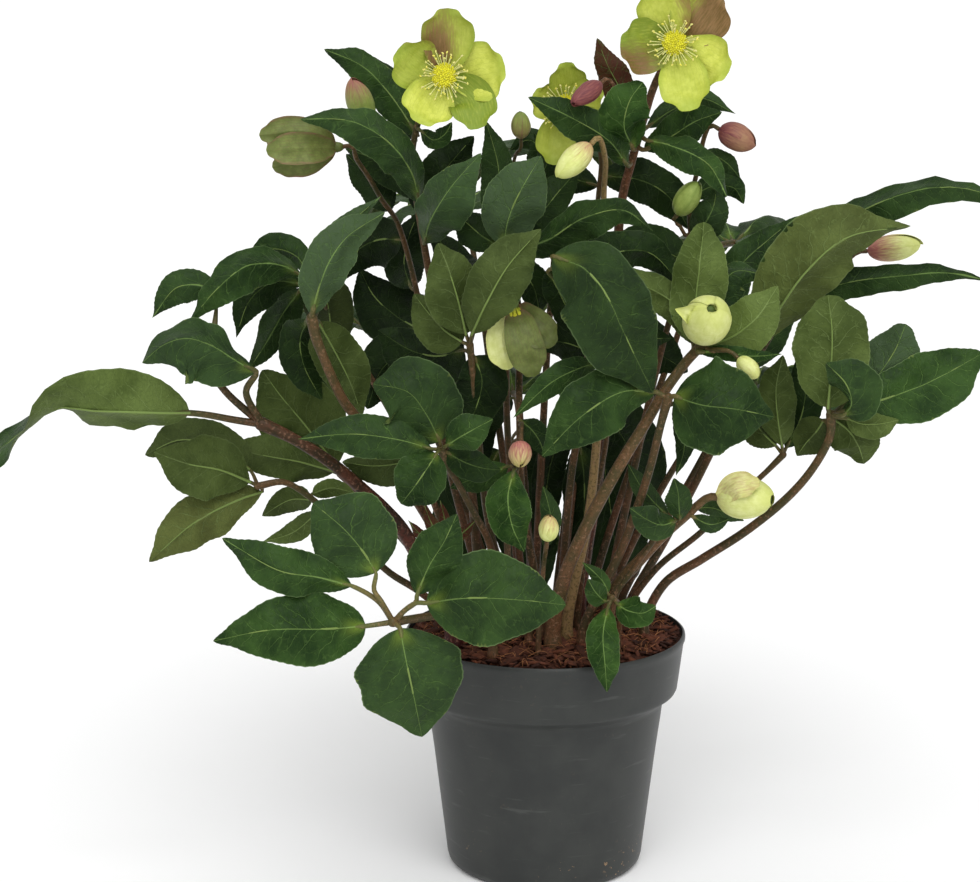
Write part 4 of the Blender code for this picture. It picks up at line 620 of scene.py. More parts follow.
class Pile:
    """Gathers grids of points into one mesh. Each point has a place on its leaf (leaf), its distance from the
    leaf's base in centimetres (flat), and a tone of four numbers, whose meaning is its material's own."""

    def __init__(self):
        self.points, self.leaf, self.flat, self.tone, self.faces, self.slots = [], [], [], [], [], []
        self.count = 0

    def grid(self, points, slot, tone, leaf=None, flat=None, closed=False, flip=False):
        rows, columns = points.shape[:2]
        index = np.arange(rows * columns).reshape(rows, columns) + self.count
        if closed:
            index = np.concatenate([index, index[:, :1]], 1)
        a, b, c, d = index[:-1, :-1], index[:-1, 1:], index[1:, 1:], index[1:, :-1]
        quads = np.stack([d, c, b, a] if flip else [a, b, c, d], -1).reshape(-1, 4)
        self.points.append(points.reshape(-1, 3))
        self.leaf.append(np.zeros((rows * columns, 2)) if leaf is None else leaf.reshape(-1, 2))
        self.flat.append(np.zeros((rows * columns, 2)) if flat is None else flat.reshape(-1, 2))
        self.tone.append(np.broadcast_to(tone, (rows, columns, 4)).reshape(-1, 4))
        self.faces.append(quads)
        self.slots.append(np.full(len(quads), slot))
        self.count += rows * columns

    def sheets(self, points, half, slots, tone, u, s, flat):
        """Two sheets that lie this far to either side of a grid of points."""
        leaf = np.stack([np.repeat(u[None, :], len(s), 0), np.repeat(s[:, None], len(u), 1)], -1)
        self.grid(points + half, slots[0], tone, leaf, flat)
        self.grid(points - half, slots[1], tone, leaf, flat, flip=True)

    def piece(self, name, finishes, node):
        """The object made of everything gathered so far."""
        mesh = bpy.data.meshes.new(name)
        mesh.from_pydata(np.concatenate(self.points).tolist(), [], np.concatenate(self.faces).tolist())
        loops = np.zeros(len(mesh.loops), np.int32)
        mesh.loops.foreach_get("vertex_index", loops)
        for layer, values in (("leaf", self.leaf), ("flat", self.flat)):
            spread = np.concatenate(values)[loops].astype(np.float32)
            mesh.uv_layers.new(name=layer).data.foreach_set("uv", spread.ravel())
        tone = mesh.color_attributes.new("tone", "FLOAT_COLOR", "POINT")
        tone.data.foreach_set("color", np.concatenate(self.tone).astype(np.float32).ravel())
        mesh.polygons.foreach_set("material_index", np.concatenate(self.slots).astype(np.int32))
        mesh.polygons.foreach_set("use_smooth", np.ones(len(mesh.polygons), bool))
        for finish in finishes:
            mesh.materials.append(finish)
        made = add_object(name, mesh)
        if node:
            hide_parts(node)
        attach(made, "root")
        return made


def across_columns(count, bias):
    """Places from -1 to 1 across a blade, closer together near the midrib."""
    t = np.linspace(-1, 1, count)
    return np.sign(t) * np.abs(t) ** bias


def square_to(axis, beside):
    """The axis's direction and two directions square to it."""
    axis = unit(np.array(axis, float))
    side = unit(np.cross(axis, beside))
    return axis, side, np.cross(axis, side)


def facing(b, centre, way):
    """The way the viewer looks at each place of a blade's midrib, and the same made square to the midrib."""
    view = np.array([[0.0, 0.0, -1.0]]) if b.seen == "above" else unit(centre - np.array(EYE))
    return view, unit(view - way * np.sum(view * way, 1, keepdims=True))


def add_blade(pile, b, tone, rng, look, slots, tone_of=None):
    """A leaflet or sepal: two sheets that meet at the margin. slots are those of the side that the viewer
    sees and of the side behind it."""
    line = Line(b.rib)
    t = np.linspace(0, 1, look.rows)
    s = 0.4 * t + 0.6 * (0.5 - 0.5 * np.cos(math.pi * t))
    centre, way = line.at(s)
    view, away = facing(b, centre, way)
    right = unit(np.cross(view, way))
    tilts = np.array([tilt_at(b.tilt, x) for x in s])
    half = b.width * np.array([outline(b.form, min(max(x, 0), 1)) for x in s])
    half = half * (1 - look.pinch * np.exp(-(((s - 0.92) / 0.07) ** 2)))
    u = across_columns(look.columns, 1.3)
    angle = np.where(u[None, :] < 0, tilts[:, :1], tilts[:, 1:])
    reach = np.repeat(half[:, None], len(u), 1)
    for first, last in ((0, len(u) // 2), (len(u) // 2 + 1, len(u))):
        sway = 0.045 * np.sin(s * rng.uniform(6, 9) + rng.uniform(0, 6))
        sway += 0.025 * np.sin(s * 19 + rng.uniform(0, 6))
        sway *= 1.0 if look.tooth else 0.35
        reach[:, first:last] *= (1 + sway)[:, None]
    tooth = look.tooth * np.where(np.arange(look.rows) % 2, 1.0, -1.0) * np.minimum(1, half / (6 * MM))
    reach[:, 0] += tooth
    reach[:, -1] += tooth
    side = np.abs(u)[None, :]
    lateral = reach * side * np.cos(angle)
    depth = reach * np.sin(angle) * (1.5 * side - 0.5 * side**2)
    points = centre[:, None] + right[:, None] * (np.sign(u) * lateral)[..., None]
    points = points + away[:, None] * depth[..., None]
    normal = unit(np.cross(np.gradient(points, axis=1), np.gradient(points, axis=0)))
    normal[[0, -1]] = normal[[1, -2]]
    normal[:, [0, -1]] = normal[:, [1, -2]]
    x = reach * u
    y = np.repeat((s * line.length)[:, None], len(u), 1)
    body = np.minimum(1, np.minimum(s, 1 - s) * 8)[:, None]
    wave = np.zeros_like(x)
    for size, length in look.waves:
        turn, start = rng.uniform(0, math.pi), rng.uniform(0, 2 * math.pi)
        wave += size * np.sin((x * math.cos(turn) + y * math.sin(turn)) * 2 * math.pi / length + start)
    frill = look.frill * np.sin(y * 2 * math.pi / look.frill_length + rng.uniform(0, 6) + 2 * np.sign(x))
    wave = (wave + frill * side**2) * body
    crease = look.crease * np.exp(-((side / 0.05) ** 2)) * body
    face = 1 if b.face == "top" else -1
    points = points + normal * (wave + look.cup * side**2 * body - face * crease)[..., None]
    thick = (look.thickness / 2 * (1 - side**6) * np.minimum(1, (1 - s) * 12)[:, None])[..., None]
    tone = np.broadcast_to(np.array(tone, float), (look.rows, len(u), 4)).copy()
    if tone_of:
        tone[..., 0] = tone_of(u[None, :], s[:, None])
    pile.sheets(points, normal * thick, slots, tone, u, s, np.stack([x, y], -1) * PER_CM)


def add_rings(pile, centre, way, radius, slot, tone, sides, share):
    """A tube through these ring centres. share runs along it and blends the pair of tones."""
    side = np.cross(way[0], [0.3, 0.9, 0.2])
    turn = np.linspace(0, 2 * math.pi, sides, endpoint=False)
    points = np.zeros((len(centre), sides, 3))
    for i in range(len(centre)):
        side = unit(side - way[i] * np.dot(side, way[i]))
        other = np.cross(way[i], side)
        points[i] = centre[i] + (np.cos(turn)[:, None] * side + np.sin(turn)[:, None] * other) * radius[i]
    first, last = np.array(tone, float)
    leaf = np.stack(np.broadcast_arrays((turn / (2 * math.pi))[None, :], share[:, None]), -1)
    pile.grid(points, slot, first + (last - first) * share[:, None, None], leaf, closed=True)


def add_tube(pile, line, radii, slot, tone, sides=10, step=4 * MM):
    """A tube along the line, with round ends. radii lists (share of the length, radius), and tone is a pair
    for its two ends."""
    rings = max(3, int(line.length / step))
    t = np.linspace(0, 1, rings + 1)
    radius = np.interp(t, [r[0] for r in radii], [r[1] for r in radii])
    centre, way = line.at(t)
    cap = np.array([0.45, 0.8, 1.0])
    round_off = np.sqrt(np.maximum(1 - cap**2, 0.0001))
    centre = np.concatenate([centre[0] - way[0] * (cap[::-1] * radius[0] * 0.6)[:, None], centre,
                             centre[-1] + way[-1] * (cap * radius[-1] * 0.6)[:, None]])
    way = np.concatenate([np.repeat(way[:1], 3, 0), way, np.repeat(way[-1:], 3, 0)])
    radius = np.concatenate([radius[0] * round_off[::-1], radius, radius[-1] * round_off])
    share = np.concatenate([np.zeros(3), t, np.ones(3)])
    add_rings(pile, centre, way, radius, slot, tone, sides, share)


def add_ball(pile, centre, axis, length, radius, slot, tone, sides=6, rows=4):
    """A small egg shape with its long axis along axis."""
    lean = np.linspace(0, math.pi, rows + 1)
    profile = np.stack([-np.cos(lean) * length / 2, np.sin(lean) * radius], -1)
    add_turned(pile, centre, axis, profile, slot, tone, sides)


def add_turned(pile, centre, axis, profile, slot, tone, sides):
    """A surface of revolution. profile lists (distance along the axis, radius)."""
    axis, side, other = square_to(axis, [0.41, 0.23, 0.88])
    turn = np.linspace(0, 2 * math.pi, sides, endpoint=False)
    ring = np.cos(turn)[:, None] * side + np.sin(turn)[:, None] * other
    along, radius = np.array(profile, float).T[:, :, None, None]
    points = np.array(centre) + axis * along + ring * radius
    pile.grid(points, slot, tone, closed=True)


Look = namedtuple("Look", "rows columns thickness tooth waves frill frill_length crease cup pinch")
LEAF = Look(46, 19, 0.55 * MM, 0.2 * MM, ((0.6 * MM, 34 * MM), (0.4 * MM, 17 * MM)), 1.2 * MM, 27 * MM,
            0.45 * MM, 0.0, 0.2)
SMALL_LEAF = Look(30, 13, 0.5 * MM, 0.15 * MM, ((0.3 * MM, 16 * MM),), 0.5 * MM, 14 * MM, 0.3 * MM, 0.0, 0.15)
PETAL = Look(34, 21, 0.7 * MM, 0.0, ((0.6 * MM, 21 * MM), (0.2 * MM, 9 * MM)), 0.8 * MM, 27 * MM, 0.12 * MM,
             4.2 * MM, 0.28)


class Paint:
    """A material's nodes. Each call adds one and gives back its output."""

    def __init__(self, name, roughness=0.5):
        self.material = bpy.data.materials.new(name)
        self.material.use_nodes = True
        self.tree = self.material.node_tree
        self.shader = self.tree.nodes["Principled BSDF"]
        self.put(self.shader, "Roughness", roughness)
        self.height = None

    def put(self, owner, socket, value):
        if isinstance(value, bpy.types.NodeSocket):
            self.tree.links.new(value, owner.inputs[socket])
        else:
            owner.inputs[socket].default_value = value

    def add(self, kind, inputs, out=0, **settings):
        made = self.tree.nodes.new("ShaderNode" + kind)
        for name, value in settings.items():
            setattr(made, name, value)
        for socket, value in inputs.items():
            self.put(made, socket, value)
        return made.outputs[out]

    def math(self, operation, *values):
        return self.add("Math", dict(enumerate(values)), operation=operation)

    def ramp(self, value, low, high, start=0.0, end=1.0):
        inputs = {0: value, 1: low, 2: high, 3: start, 4: end}
        return self.add("MapRange", inputs, interpolation_type="SMOOTHSTEP")

    def blend(self, share, first, second, kind="MIX"):
        inputs = {0: share, 6: first, 7: second}
        return self.add("Mix", inputs, 2, data_type="RGBA", blend_type=kind)

    def over(self, colour, mask, share, above):
        """This share of another colour, given as a picture shows it, where the mask is."""
        return self.blend(self.math("MULTIPLY", mask, share), colour, srgb(*above))

    def layers(self, colour, *layers):
        """The colour with these (mask, share, colour) laid over it."""
        for layer in layers:
            colour = self.over(colour, *layer)
        return colour

    def total(self, *shares):
        """The sum of these (value, share)."""
        height = self.math("MULTIPLY", *shares[0])
        for value, share in shares[1:]:
            height = self.math("MULTIPLY_ADD", value, share, height)
        return height

    def stretched(self, where, factors):
        return self.add("VectorMath", {0: where, 1: factors}, operation="MULTIPLY")

    def noise(self, where, scale, detail=2.0, roughness=0.5):
        inputs = {"Vector": where, "Scale": scale, "Detail": detail, "Roughness": roughness}
        return self.add("TexNoise", inputs)

    def cells(self, where, scale, feature="DISTANCE_TO_EDGE"):
        return self.add("TexVoronoi", {"Vector": where, "Scale": scale}, feature=feature)

    def uv(self, layer):
        return self.add("UVMap", {}, uv_map=layer)

    def parts(self, vector):
        self.add("SeparateXYZ", {0: vector})
        return self.tree.nodes[-1].outputs

    def tone(self):
        """The four numbers that each point carries."""
        self.add("Attribute", {}, attribute_name="tone")
        attribute = self.tree.nodes[-1]
        self.add("SeparateColor", {0: attribute.outputs["Color"]})
        return [*self.tree.nodes[-1].outputs, attribute.outputs["Alpha"]]

    def here(self):
        self.add("TexCoord", {})
        return self.tree.nodes[-1].outputs["Object"]

    def finish(self, colour, strength=0.0, distance=1 * MM, height=None, roughness=None, specular=0.5):
        self.put(self.shader, "Base Color", colour)
        self.put(self.shader, "Specular IOR Level", specular)
        if height is not None:
            bump = self.add("Bump", {"Strength": strength, "Distance": distance, "Height": height})
            self.put(self.shader, "Normal", bump)
        if roughness is not None:
            self.put(self.shader, "Roughness", roughness)
        return self.material


def srgb(red, green, sheen_share):
    """A colour given as a picture shows it, from 0 to 255."""
    shares = [c / 255 for c in (red, green, sheen_share)]
    return (*[c / 12.92 if c < 0.0404 else ((c + 0.055) / 1.055) ** 2.4 for c in shares], 1)


def leaf_veins(p):
    """Masks of a leaf's midrib, side veins and net, from its own coordinates."""
    across, along, _ = p.parts(p.uv("leaf"))
    flat = p.uv("flat")
    x, y, _ = p.parts(flat)
    seed = p.tone()[3]
    side = p.math("ABSOLUTE", across)
    width = p.math("ABSOLUTE", x)
    midrib = p.ramp(width, p.math("MULTIPLY_ADD", along, -0.045, 0.065), 0.0)
    sign = p.math("SIGN", x)
    offset = p.add("CombineXYZ", {0: p.math("MULTIPLY", seed, 9.0), 1: sign, 2: seed})
    place = p.add("VectorMath", {0: flat, 1: offset}, operation="ADD")
    bend = p.noise(place, 0.55, 1.0)
    wiggle = p.noise(place, 2.6, 2.0)
    phase = p.math("SUBTRACT", y, p.math("POWER", width, 0.8))
    phase = p.math("MULTIPLY_ADD", bend, 1.5, phase)
    phase = p.math("MULTIPLY_ADD", wiggle, 0.3, phase)
    phase = p.math("ADD", p.math("DIVIDE", phase, 1.12), p.math("MULTIPLY_ADD", sign, 0.21, seed))
    near = p.math("ABSOLUTE", p.math("SUBTRACT", p.math("FRACT", phase), 0.5))
    broad = p.math("MULTIPLY_ADD", side, -0.028, 0.05)
    veins = p.math("MULTIPLY", p.ramp(near, broad, 0.008), p.ramp(side, 1.0, 0.35, 0.0, 1.0))
    warp = p.add("CombineXYZ", {0: wiggle, 1: bend})
    warped = p.add("VectorMath", {0: place, 1: warp}, operation="ADD")
    net = p.math("MULTIPLY", p.ramp(p.cells(warped, 1.15), 0.055, 0.0), p.ramp(wiggle, 0.35, 0.6))
    fine = p.ramp(p.cells(warped, 4.2), 0.1, 0.0)
    return side, along, flat, midrib, veins, net, fine


def shaded(p, colour, bright):
    shade = p.add("CombineColor", {0: bright, 1: bright, 2: bright})
    return p.blend(1.0, colour, shade, "MULTIPLY")


def leaf_top():
    p = Paint("leaf_top", 0.42)
    side, along, flat, midrib, veins, net, fine = leaf_veins(p)
    bright, sheen_share, warm, _ = p.tone()
    patch = p.noise(p.here(), 45.0, 4.0, 0.6)
    colour = p.blend(p.ramp(patch, 0.32, 0.68), srgb(20, 40, 12), srgb(44, 68, 26))
    # A blue-grey painted sheen, in the share that the tone's second number gives.
    colour = p.blend(sheen_share, colour, srgb(62, 78, 54))
    colour = p.blend(warm, colour, srgb(74, 38, 30))
    base = p.math("MULTIPLY", p.ramp(along, 0.22, 0.0), p.ramp(side, 0.5, 0.0))
    rim = p.ramp(side, 0.965, 1.0)
    colour = p.layers(
        colour, (fine, 0.14, (64, 86, 38)), (net, 0.26, (80, 108, 52)), (veins, 0.42, (94, 124, 64)),
        (base, 0.55, (128, 150, 58)), (midrib, 0.7, (124, 152, 84)), (rim, 0.55, (112, 134, 88)))
    swell = p.noise(flat, 1.3, 2.0)
    grain = p.noise(flat, 22.0, 3.0)
    height = p.total((net, -0.6), (veins, -1.0), (fine, -0.14), (midrib, -0.8), (swell, 2.2), (grain, 0.16))
    rough = p.math("MULTIPLY_ADD", grain, 0.2, 0.28)
    # The tone's brightness is painted light and shade.
    return p.finish(shaded(p, colour, bright), 0.8, 0.7 * MM, height, rough, 0.07)


def leaf_under():
    p = Paint("leaf_under", 0.6)
    side, _, flat, midrib, veins, net, fine = leaf_veins(p)
    bright, _, warm, _ = p.tone()
    patch = p.noise(p.here(), 34.0, 4.0, 0.6)
    colour = p.blend(p.ramp(patch, 0.3, 0.7), srgb(58, 72, 30), srgb(86, 102, 50))
    colour = p.blend(warm, colour, srgb(130, 92, 62))
    rim = p.ramp(side, 0.965, 1.0)
    colour = p.layers(
        colour, (fine, 0.3, (50, 64, 28)), (net, 0.35, (104, 122, 68)), (veins, 0.5, (112, 130, 76)),
        (midrib, 0.7, (124, 142, 86)), (rim, 0.4, (120, 136, 88)))
    height = p.total((net, 0.6), (veins, 0.9), (fine, 0.15), (p.noise(flat, 1.3, 2.0), 2.0))
    # The tone's brightness is painted light and shade.
    return p.finish(shaded(p, colour, bright), 0.7, 0.6 * MM, height, None, 0.1)


def stalk_skin():
    """tone is (brightness, share of green, share of tan, seed)."""
    p = Paint("stalk_skin", 0.4)
    bright, green, tan, _ = p.tone()
    here = p.here()
    patch = p.noise(here, 55.0, 3.0, 0.6)
    colour = p.blend(p.ramp(patch, 0.35, 0.65), srgb(48, 20, 20), srgb(98, 46, 40))
    colour = p.blend(tan, colour, srgb(150, 118, 80))
    freckle = p.ramp(p.noise(here, 620.0, 2.0, 0.7), 0.5, 0.6)
    colour = p.over(colour, freckle, 0.55, (38, 14, 16))
    pale = p.ramp(p.noise(here, 480.0, 2.0, 0.6), 0.56, 0.66)
    colour = p.over(colour, pale, 0.5, (162, 116, 96))
    colour = p.blend(green, colour, srgb(112, 132, 70))
    around = p.parts(p.uv("leaf"))[0]
    ribs = p.math("SINE", p.math("MULTIPLY", around, 62.8))
    height = p.math("MULTIPLY_ADD", ribs, 0.25, patch)
    # The tone's brightness is painted light and shade.
    return p.finish(shaded(p, colour, bright), 0.35, 0.4 * MM, height, None, 0.14)


def petal_skin(name, ground, paler, deep, stain, dark_stain, edge, vein):
    """tone is (share of stain, share of deep colour, brightness, seed)."""
    p = Paint(name, 0.5)
    deep, edge = srgb(*deep), srgb(*edge)
    stained, deeper, bright, _ = p.tone()
    across, along, _ = p.parts(p.uv("leaf"))
    flat = p.uv("flat")
    wander = p.noise(flat, 1.6, 3.0, 0.6)
    fan = p.math("MULTIPLY_ADD", across, 5.5, p.math("MULTIPLY", wander, 1.6))
    near = p.math("ABSOLUTE", p.math("SUBTRACT", p.math("FRACT", fan), 0.5))
    veins = p.math("MULTIPLY", p.ramp(near, 0.12, 0.02), p.ramp(along, 1.0, 0.75))
    net = p.ramp(p.cells(p.stretched(flat, (2.2, 0.8, 1.0)), 3.4), 0.08, 0.0)
    patch = p.ramp(p.noise(flat, 1.4, 4.0, 0.65), 0.32, 0.68)
    streak = p.noise(p.stretched(flat, (6.0, 0.9, 1.0)), 1.6, 3.0)
    colour = p.blend(patch, srgb(*ground), srgb(*paler))
    colour = p.blend(p.math("MULTIPLY", deeper, p.ramp(streak, 0.0, 0.6)), colour, deep)
    side = p.math("ABSOLUTE", across)
    green = p.math("MAXIMUM", p.ramp(along, 0.72, 1.0), p.ramp(side, 0.7, 1.05))
    colour = p.blend(p.math("MULTIPLY", green, 0.5), colour, deep)
    colour = p.blend(p.math("MULTIPLY", veins, vein), colour, edge)
    colour = p.blend(p.math("MULTIPLY", net, vein * 0.7), colour, edge)
    worn = p.ramp(p.math("MULTIPLY_ADD", streak, 0.7, p.math("SUBTRACT", stained, 0.35)), 0.1, 0.85)
    colour = p.blend(worn, colour, p.blend(p.ramp(streak, 0.3, 0.7), srgb(*stain), srgb(*dark_stain)))
    # The tone's brightness is painted light and shade on the open flowers' sepals.
    colour = shaded(p, colour, bright)
    height = p.math("MULTIPLY_ADD", veins, -0.5, p.math("MULTIPLY_ADD", net, -0.3, streak))
    return p.finish(colour, 0.35, 0.5 * MM, height, None, 0.3)


def pollen_skin():
    """tone is a colour."""
    p = Paint("pollen", 0.6)
    p.add("Attribute", {}, attribute_name="tone")
    tint = p.tree.nodes[-1].outputs["Color"]
    grain = p.noise(p.here(), 900.0, 3.0)
    colour = p.blend(p.ramp(grain, 0.3, 0.7, 0.0, 0.35), tint, srgb(150, 130, 30))
    return p.finish(colour, 0.3, 0.2 * MM, grain, None, 0.3)


def pot_plastic():
    p = Paint("pot_plastic", 0.4)
    here = p.here()
    mottle = p.noise(here, 30.0, 4.0, 0.6)
    colour = p.blend(p.ramp(mottle, 0.3, 0.7), srgb(44, 46, 45), srgb(52, 54, 52))
    height_above = p.parts(here)[2]
    low = p.ramp(height_above, 34 * MM, 6 * MM)
    specks = p.ramp(p.noise(here, 260.0, 3.0, 0.7), 0.63, 0.67)
    clumps = p.ramp(p.noise(here, 26.0, 2.0), 0.48, 0.6)
    dirt = p.math("MULTIPLY", specks, p.math("MULTIPLY", p.math("MAXIMUM", low, 0.05), clumps))
    colour = p.blend(dirt, colour, srgb(150, 122, 92))
    scuff = p.ramp(p.noise(p.stretched(here, (30.0, 30.0, 260.0)), 1.0, 3.0), 0.62, 0.74)
    colour = p.over(colour, scuff, 0.12, (120, 122, 118))
    grain = p.noise(here, 700.0, 2.0)
    rough = p.math("MULTIPLY_ADD", mottle, 0.14, 0.36)
    height = p.math("ADD", grain, p.math("MULTIPLY", dirt, 2.0))
    return p.finish(colour, 0.1, 0.2 * MM, height, rough, 0.25)


def bark(name, shades):
    """tone is (place between the two shades, brightness, unused, unused)."""
    p = Paint(name, 0.85)
    place, bright, _, _ = p.tone()
    here = p.here()
    grain = p.noise(here, 260.0, 5.0, 0.7)
    colour = p.blend(place, shades[0], shades[1])
    colour = p.blend(p.ramp(grain, 0.35, 0.7, 0.0, 0.6), colour, shades[2])
    colour = shaded(p, colour, bright)
    return p.finish(colour, 0.8, 1 * MM, grain, None, 0.2)


def paper():
    p = Paint("floor_paper", 0.9)
    grain = p.noise(p.here(), 60.0, 3.0)
    return p.finish(srgb(248, 248, 248), 0.02, 0.1 * MM, grain, None, 0.1)


def add_midrib(pile, b, tone):
    """The midrib's ridge on the underside of a blade."""
    line = Line(b.rib)
    t = np.linspace(0.0, 0.88, 18)
    centre, way = line.at(t)
    away = facing(b, centre, way)[1]
    face = 1 if b.face == "top" else -1
    size = min(1.0 * MM, b.width * 0.045)
    radius = size * (1 - 0.75 * t / 0.88)
    drop = face * (radius + 0.35 * MM)
    add_rings(pile, centre + away * drop[:, None], way, radius, STALK, (tone, tone), 6, t)


def add_growth(pile, name, plant, rng):
    """A leaf or stem: its stalk, the twigs to its blades, the blades, and the side stalks to its buds."""
    start, end = plant.radius
    bright, green, tan = STALK_TONES.get(name, PLAIN_STALK)
    low = (bright, green, tan, 0)
    high = (bright, min(green + 0.12, 1), tan, 0)
    line = Line(plant.path)
    last = end * (1.25 if plant.hub else 1.0)
    radii = [(0, start * 1.3), (0.05, start * 1.04), (0.12, start + (end - start) * 0.12), (0.9, end),
             (1, last)]
    add_tube(pile, line, radii, STALK, (low, high), sides=14)
    if plant.hub:
        middle, way = line.at([1.0])
        add_ball(pile, middle[0], way[0], last * 2.2, last * 1.02, STALK, high, 12, 8)
    curve = even_curve(plant.path, 60)
    twig = max(1.1 * MM, end * 0.65)
    for b in plant.blades:
        first = b.twig[0] if b.twig else b.rib[0]
        route = [nearest_on(curve, first), *b.twig, b.rib[0], smooth(b.rib, 0.1)]
        tip = 0.3 * MM + b.width * 0.012
        add_tube(pile, Line(route), [(0, twig * 1.1), (0.25, twig), (0.8, twig * 0.85), (1, tip)], STALK,
                 (high, (bright * 1.1, green + 0.45, tan, 0)), sides=10, step=2.5 * MM)
        # A random brightness, and a random share of the blue-grey painted sheen.
        tone = (*(b.tone or (rng.uniform(0.75, 1.1), rng.uniform(0, 0.4), 0.0)), rng.uniform(0, 1))
        slots = (TOP, UNDER) if b.face == "top" else (UNDER, TOP)
        add_blade(pile, b, tone, rng, LEAF if b.width > 11 * MM else SMALL_LEAF, slots)
        add_midrib(pile, b, (1.0, 1.0, 0.0, 0))
    for path in plant.twigs:
        route = [nearest_on(curve, path[0]), *path]
        radii = [(0, end * 0.8), (0.8, 1.2 * MM), (1, 1.5 * MM)]
        add_tube(pile, Line(route), radii, STALK, (high, high), sides=12)


def stained(name, i):
    """The share of mauve-brown at each place of a sepal."""
    if name == "flower_left" and i == 0:
        return lambda u, s: np.clip(1.3 - np.abs(u + 0.4) * 1.2, 0, 1) * np.clip(1.35 - s, 0, 0.95)
    if name == "flower_left" and i == 4:
        return lambda u, s: 0.45 * np.clip(u * 3 - 1.8, 0, 1) * np.clip(s * 5 - 0.6, 0, 1)
    if name == "flower_right" and i == 1:
        return lambda u, s: 0.92 * np.clip(0.95 + u * 1.3, 0, 1) * np.clip(s * 3, 0, 1)
    if name == "flower_right" and i == 0:
        return lambda u, s: 0.6 * np.clip(u * 2 - 0.5, 0, 1)
    if name == "flower_right" and i == 4:
        return lambda u, s: 0.75 * np.clip(0.55 - u * 0.9, 0, 1) * np.clip(s * 2.2 - 0.2, 0, 1)
    if name == "flower_drooping":
        return lambda u, s: np.clip(0.75 - s * 2.4, 0, 1) + 0.25 * np.clip(np.abs(u) * 4 - 3.1, 0, 1)
    if name == "flower_nodding":
        return lambda u, s: (0.15 + 0.45 * np.clip(np.abs(u) * 4 - 3.1, 0, 1)
                             + 0.3 * np.clip(0.5 - s * 2, 0, 1))
    return lambda u, s: 0.2 * np.clip(np.abs(u) * 5 - 4, 0, 1)


def through(*points):
    return Line([Vector(point) for point in points])


def add_stamens(pile, flower, rng, count, spread):
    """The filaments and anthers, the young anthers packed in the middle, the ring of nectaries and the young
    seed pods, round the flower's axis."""
    crowd = min(1, spread / (12 * MM))
    axis = np.array((flower.nose - flower.middle).normalized())
    side = unit(np.cross(axis, [0.1, 0.2, 1.0]))
    other = np.cross(axis, side)
    middle = np.array(flower.middle)

    def spoke_at(turn):
        return math.cos(turn) * side + math.sin(turn) * other

    filament = (0.72, 0.74, 0.3, 1)
    for k in range(count):
        turn = k * GOLDEN_ANGLE + rng.uniform(-0.2, 0.2)
        share = 0.4 + 0.6 * math.sqrt((k + 0.5) / count)
        out = spread * (0.12 + 0.88 * share) * rng.uniform(0.85, 1.12)
        rise = (12.5 - 6.5 * share**2) * MM * rng.uniform(0.88, 1.12)
        spoke = spoke_at(turn)
        foot = middle + axis * 2.6 * MM + spoke * 2.8 * MM * share
        tip = middle + axis * (2.6 * MM + rise) + spoke * out
        elbow = (foot + tip) / 2 + axis * 2.2 * MM * share
        radii = [(0, 0.36 * MM), (1, 0.26 * MM)]
        add_tube(pile, through(foot, elbow, tip), radii, 0, (filament, filament), 4, 3 * MM)
        lean = unit(axis * 0.5 + spoke * rng.uniform(-1, 1) + np.cross(axis, spoke) * rng.uniform(-1, 1))
        warm = rng.uniform(0, 1)
        anther = (0.82 - 0.08 * warm, 0.76 - 0.04 * warm, 0.1 + 0.2 * warm, 1)
        add_ball(pile, tip, lean, 2.1 * MM, 0.62 * MM, 0, anther)
    packed = 130
    for k in range(packed):
        spoke = spoke_at(k * GOLDEN_ANGLE)
        share = math.sqrt((k + 0.5) / packed)
        rise = 6.0 + 4.5 * math.sqrt(1 - share**2) + rng.uniform(-0.5, 0.5)
        place = middle + axis * rise * MM + spoke * share * 7.8 * MM * crowd
        bright = rng.uniform(0.8, 1.1)
        yellow = (0.7 * bright, 0.68 * bright, 0.03, 1)
        add_ball(pile, place, axis + spoke * share, 2.6 * MM, 0.95 * MM, 0, yellow)
    for count, phase, low, out, rise, spread, bow, radii, tone, step in (NECTARIES, SEED_PODS):
        for k in range(count):
            spoke = spoke_at(2 * math.pi * k / count + phase)
            foot = middle + axis * low * MM + spoke * out * MM
            top = foot + axis * rise * MM + spoke * spread * MM
            route = through(foot, (foot + top) / 2 + spoke * bow * MM, top)
            add_tube(pile, route, [(share, size * MM) for share, size in radii], 0, tone, 7, step * MM)


def add_cup(pile, name, flower, rng):
    """A flower's receptacle and its sepals."""
    axis = (flower.nose - flower.middle).normalized()
    back = [(-3.4, 0.01), (-3.3, 2.0), (-1.5, 3.0), (1.0, 3.6), (2.4, 3.2), (2.7, 1.6), (2.8, 0.01)]
    add_turned(pile, flower.middle, axis, [(a * MM, r * MM) for a, r in back], 0, (0.1, 0.3, 0.8, 0), 20)
    for i, b in enumerate(flower.sepals):
        # The sepal's brightness is painted light and shade, and its share of deep green is partly painted
        # shade.
        deep, bright = b.tone or (rng.uniform(0.1, 0.45), 1.0)
        slot = 1 if (name, i) == ("flower_drooping", 0) else 0
        if name == "flower_nodding":
            b = b._replace(width=b.width * 0.78)
        add_blade(pile, b, (0, deep, bright, rng.uniform(0, 1)), rng, PETAL, (slot, slot), stained(name, i))


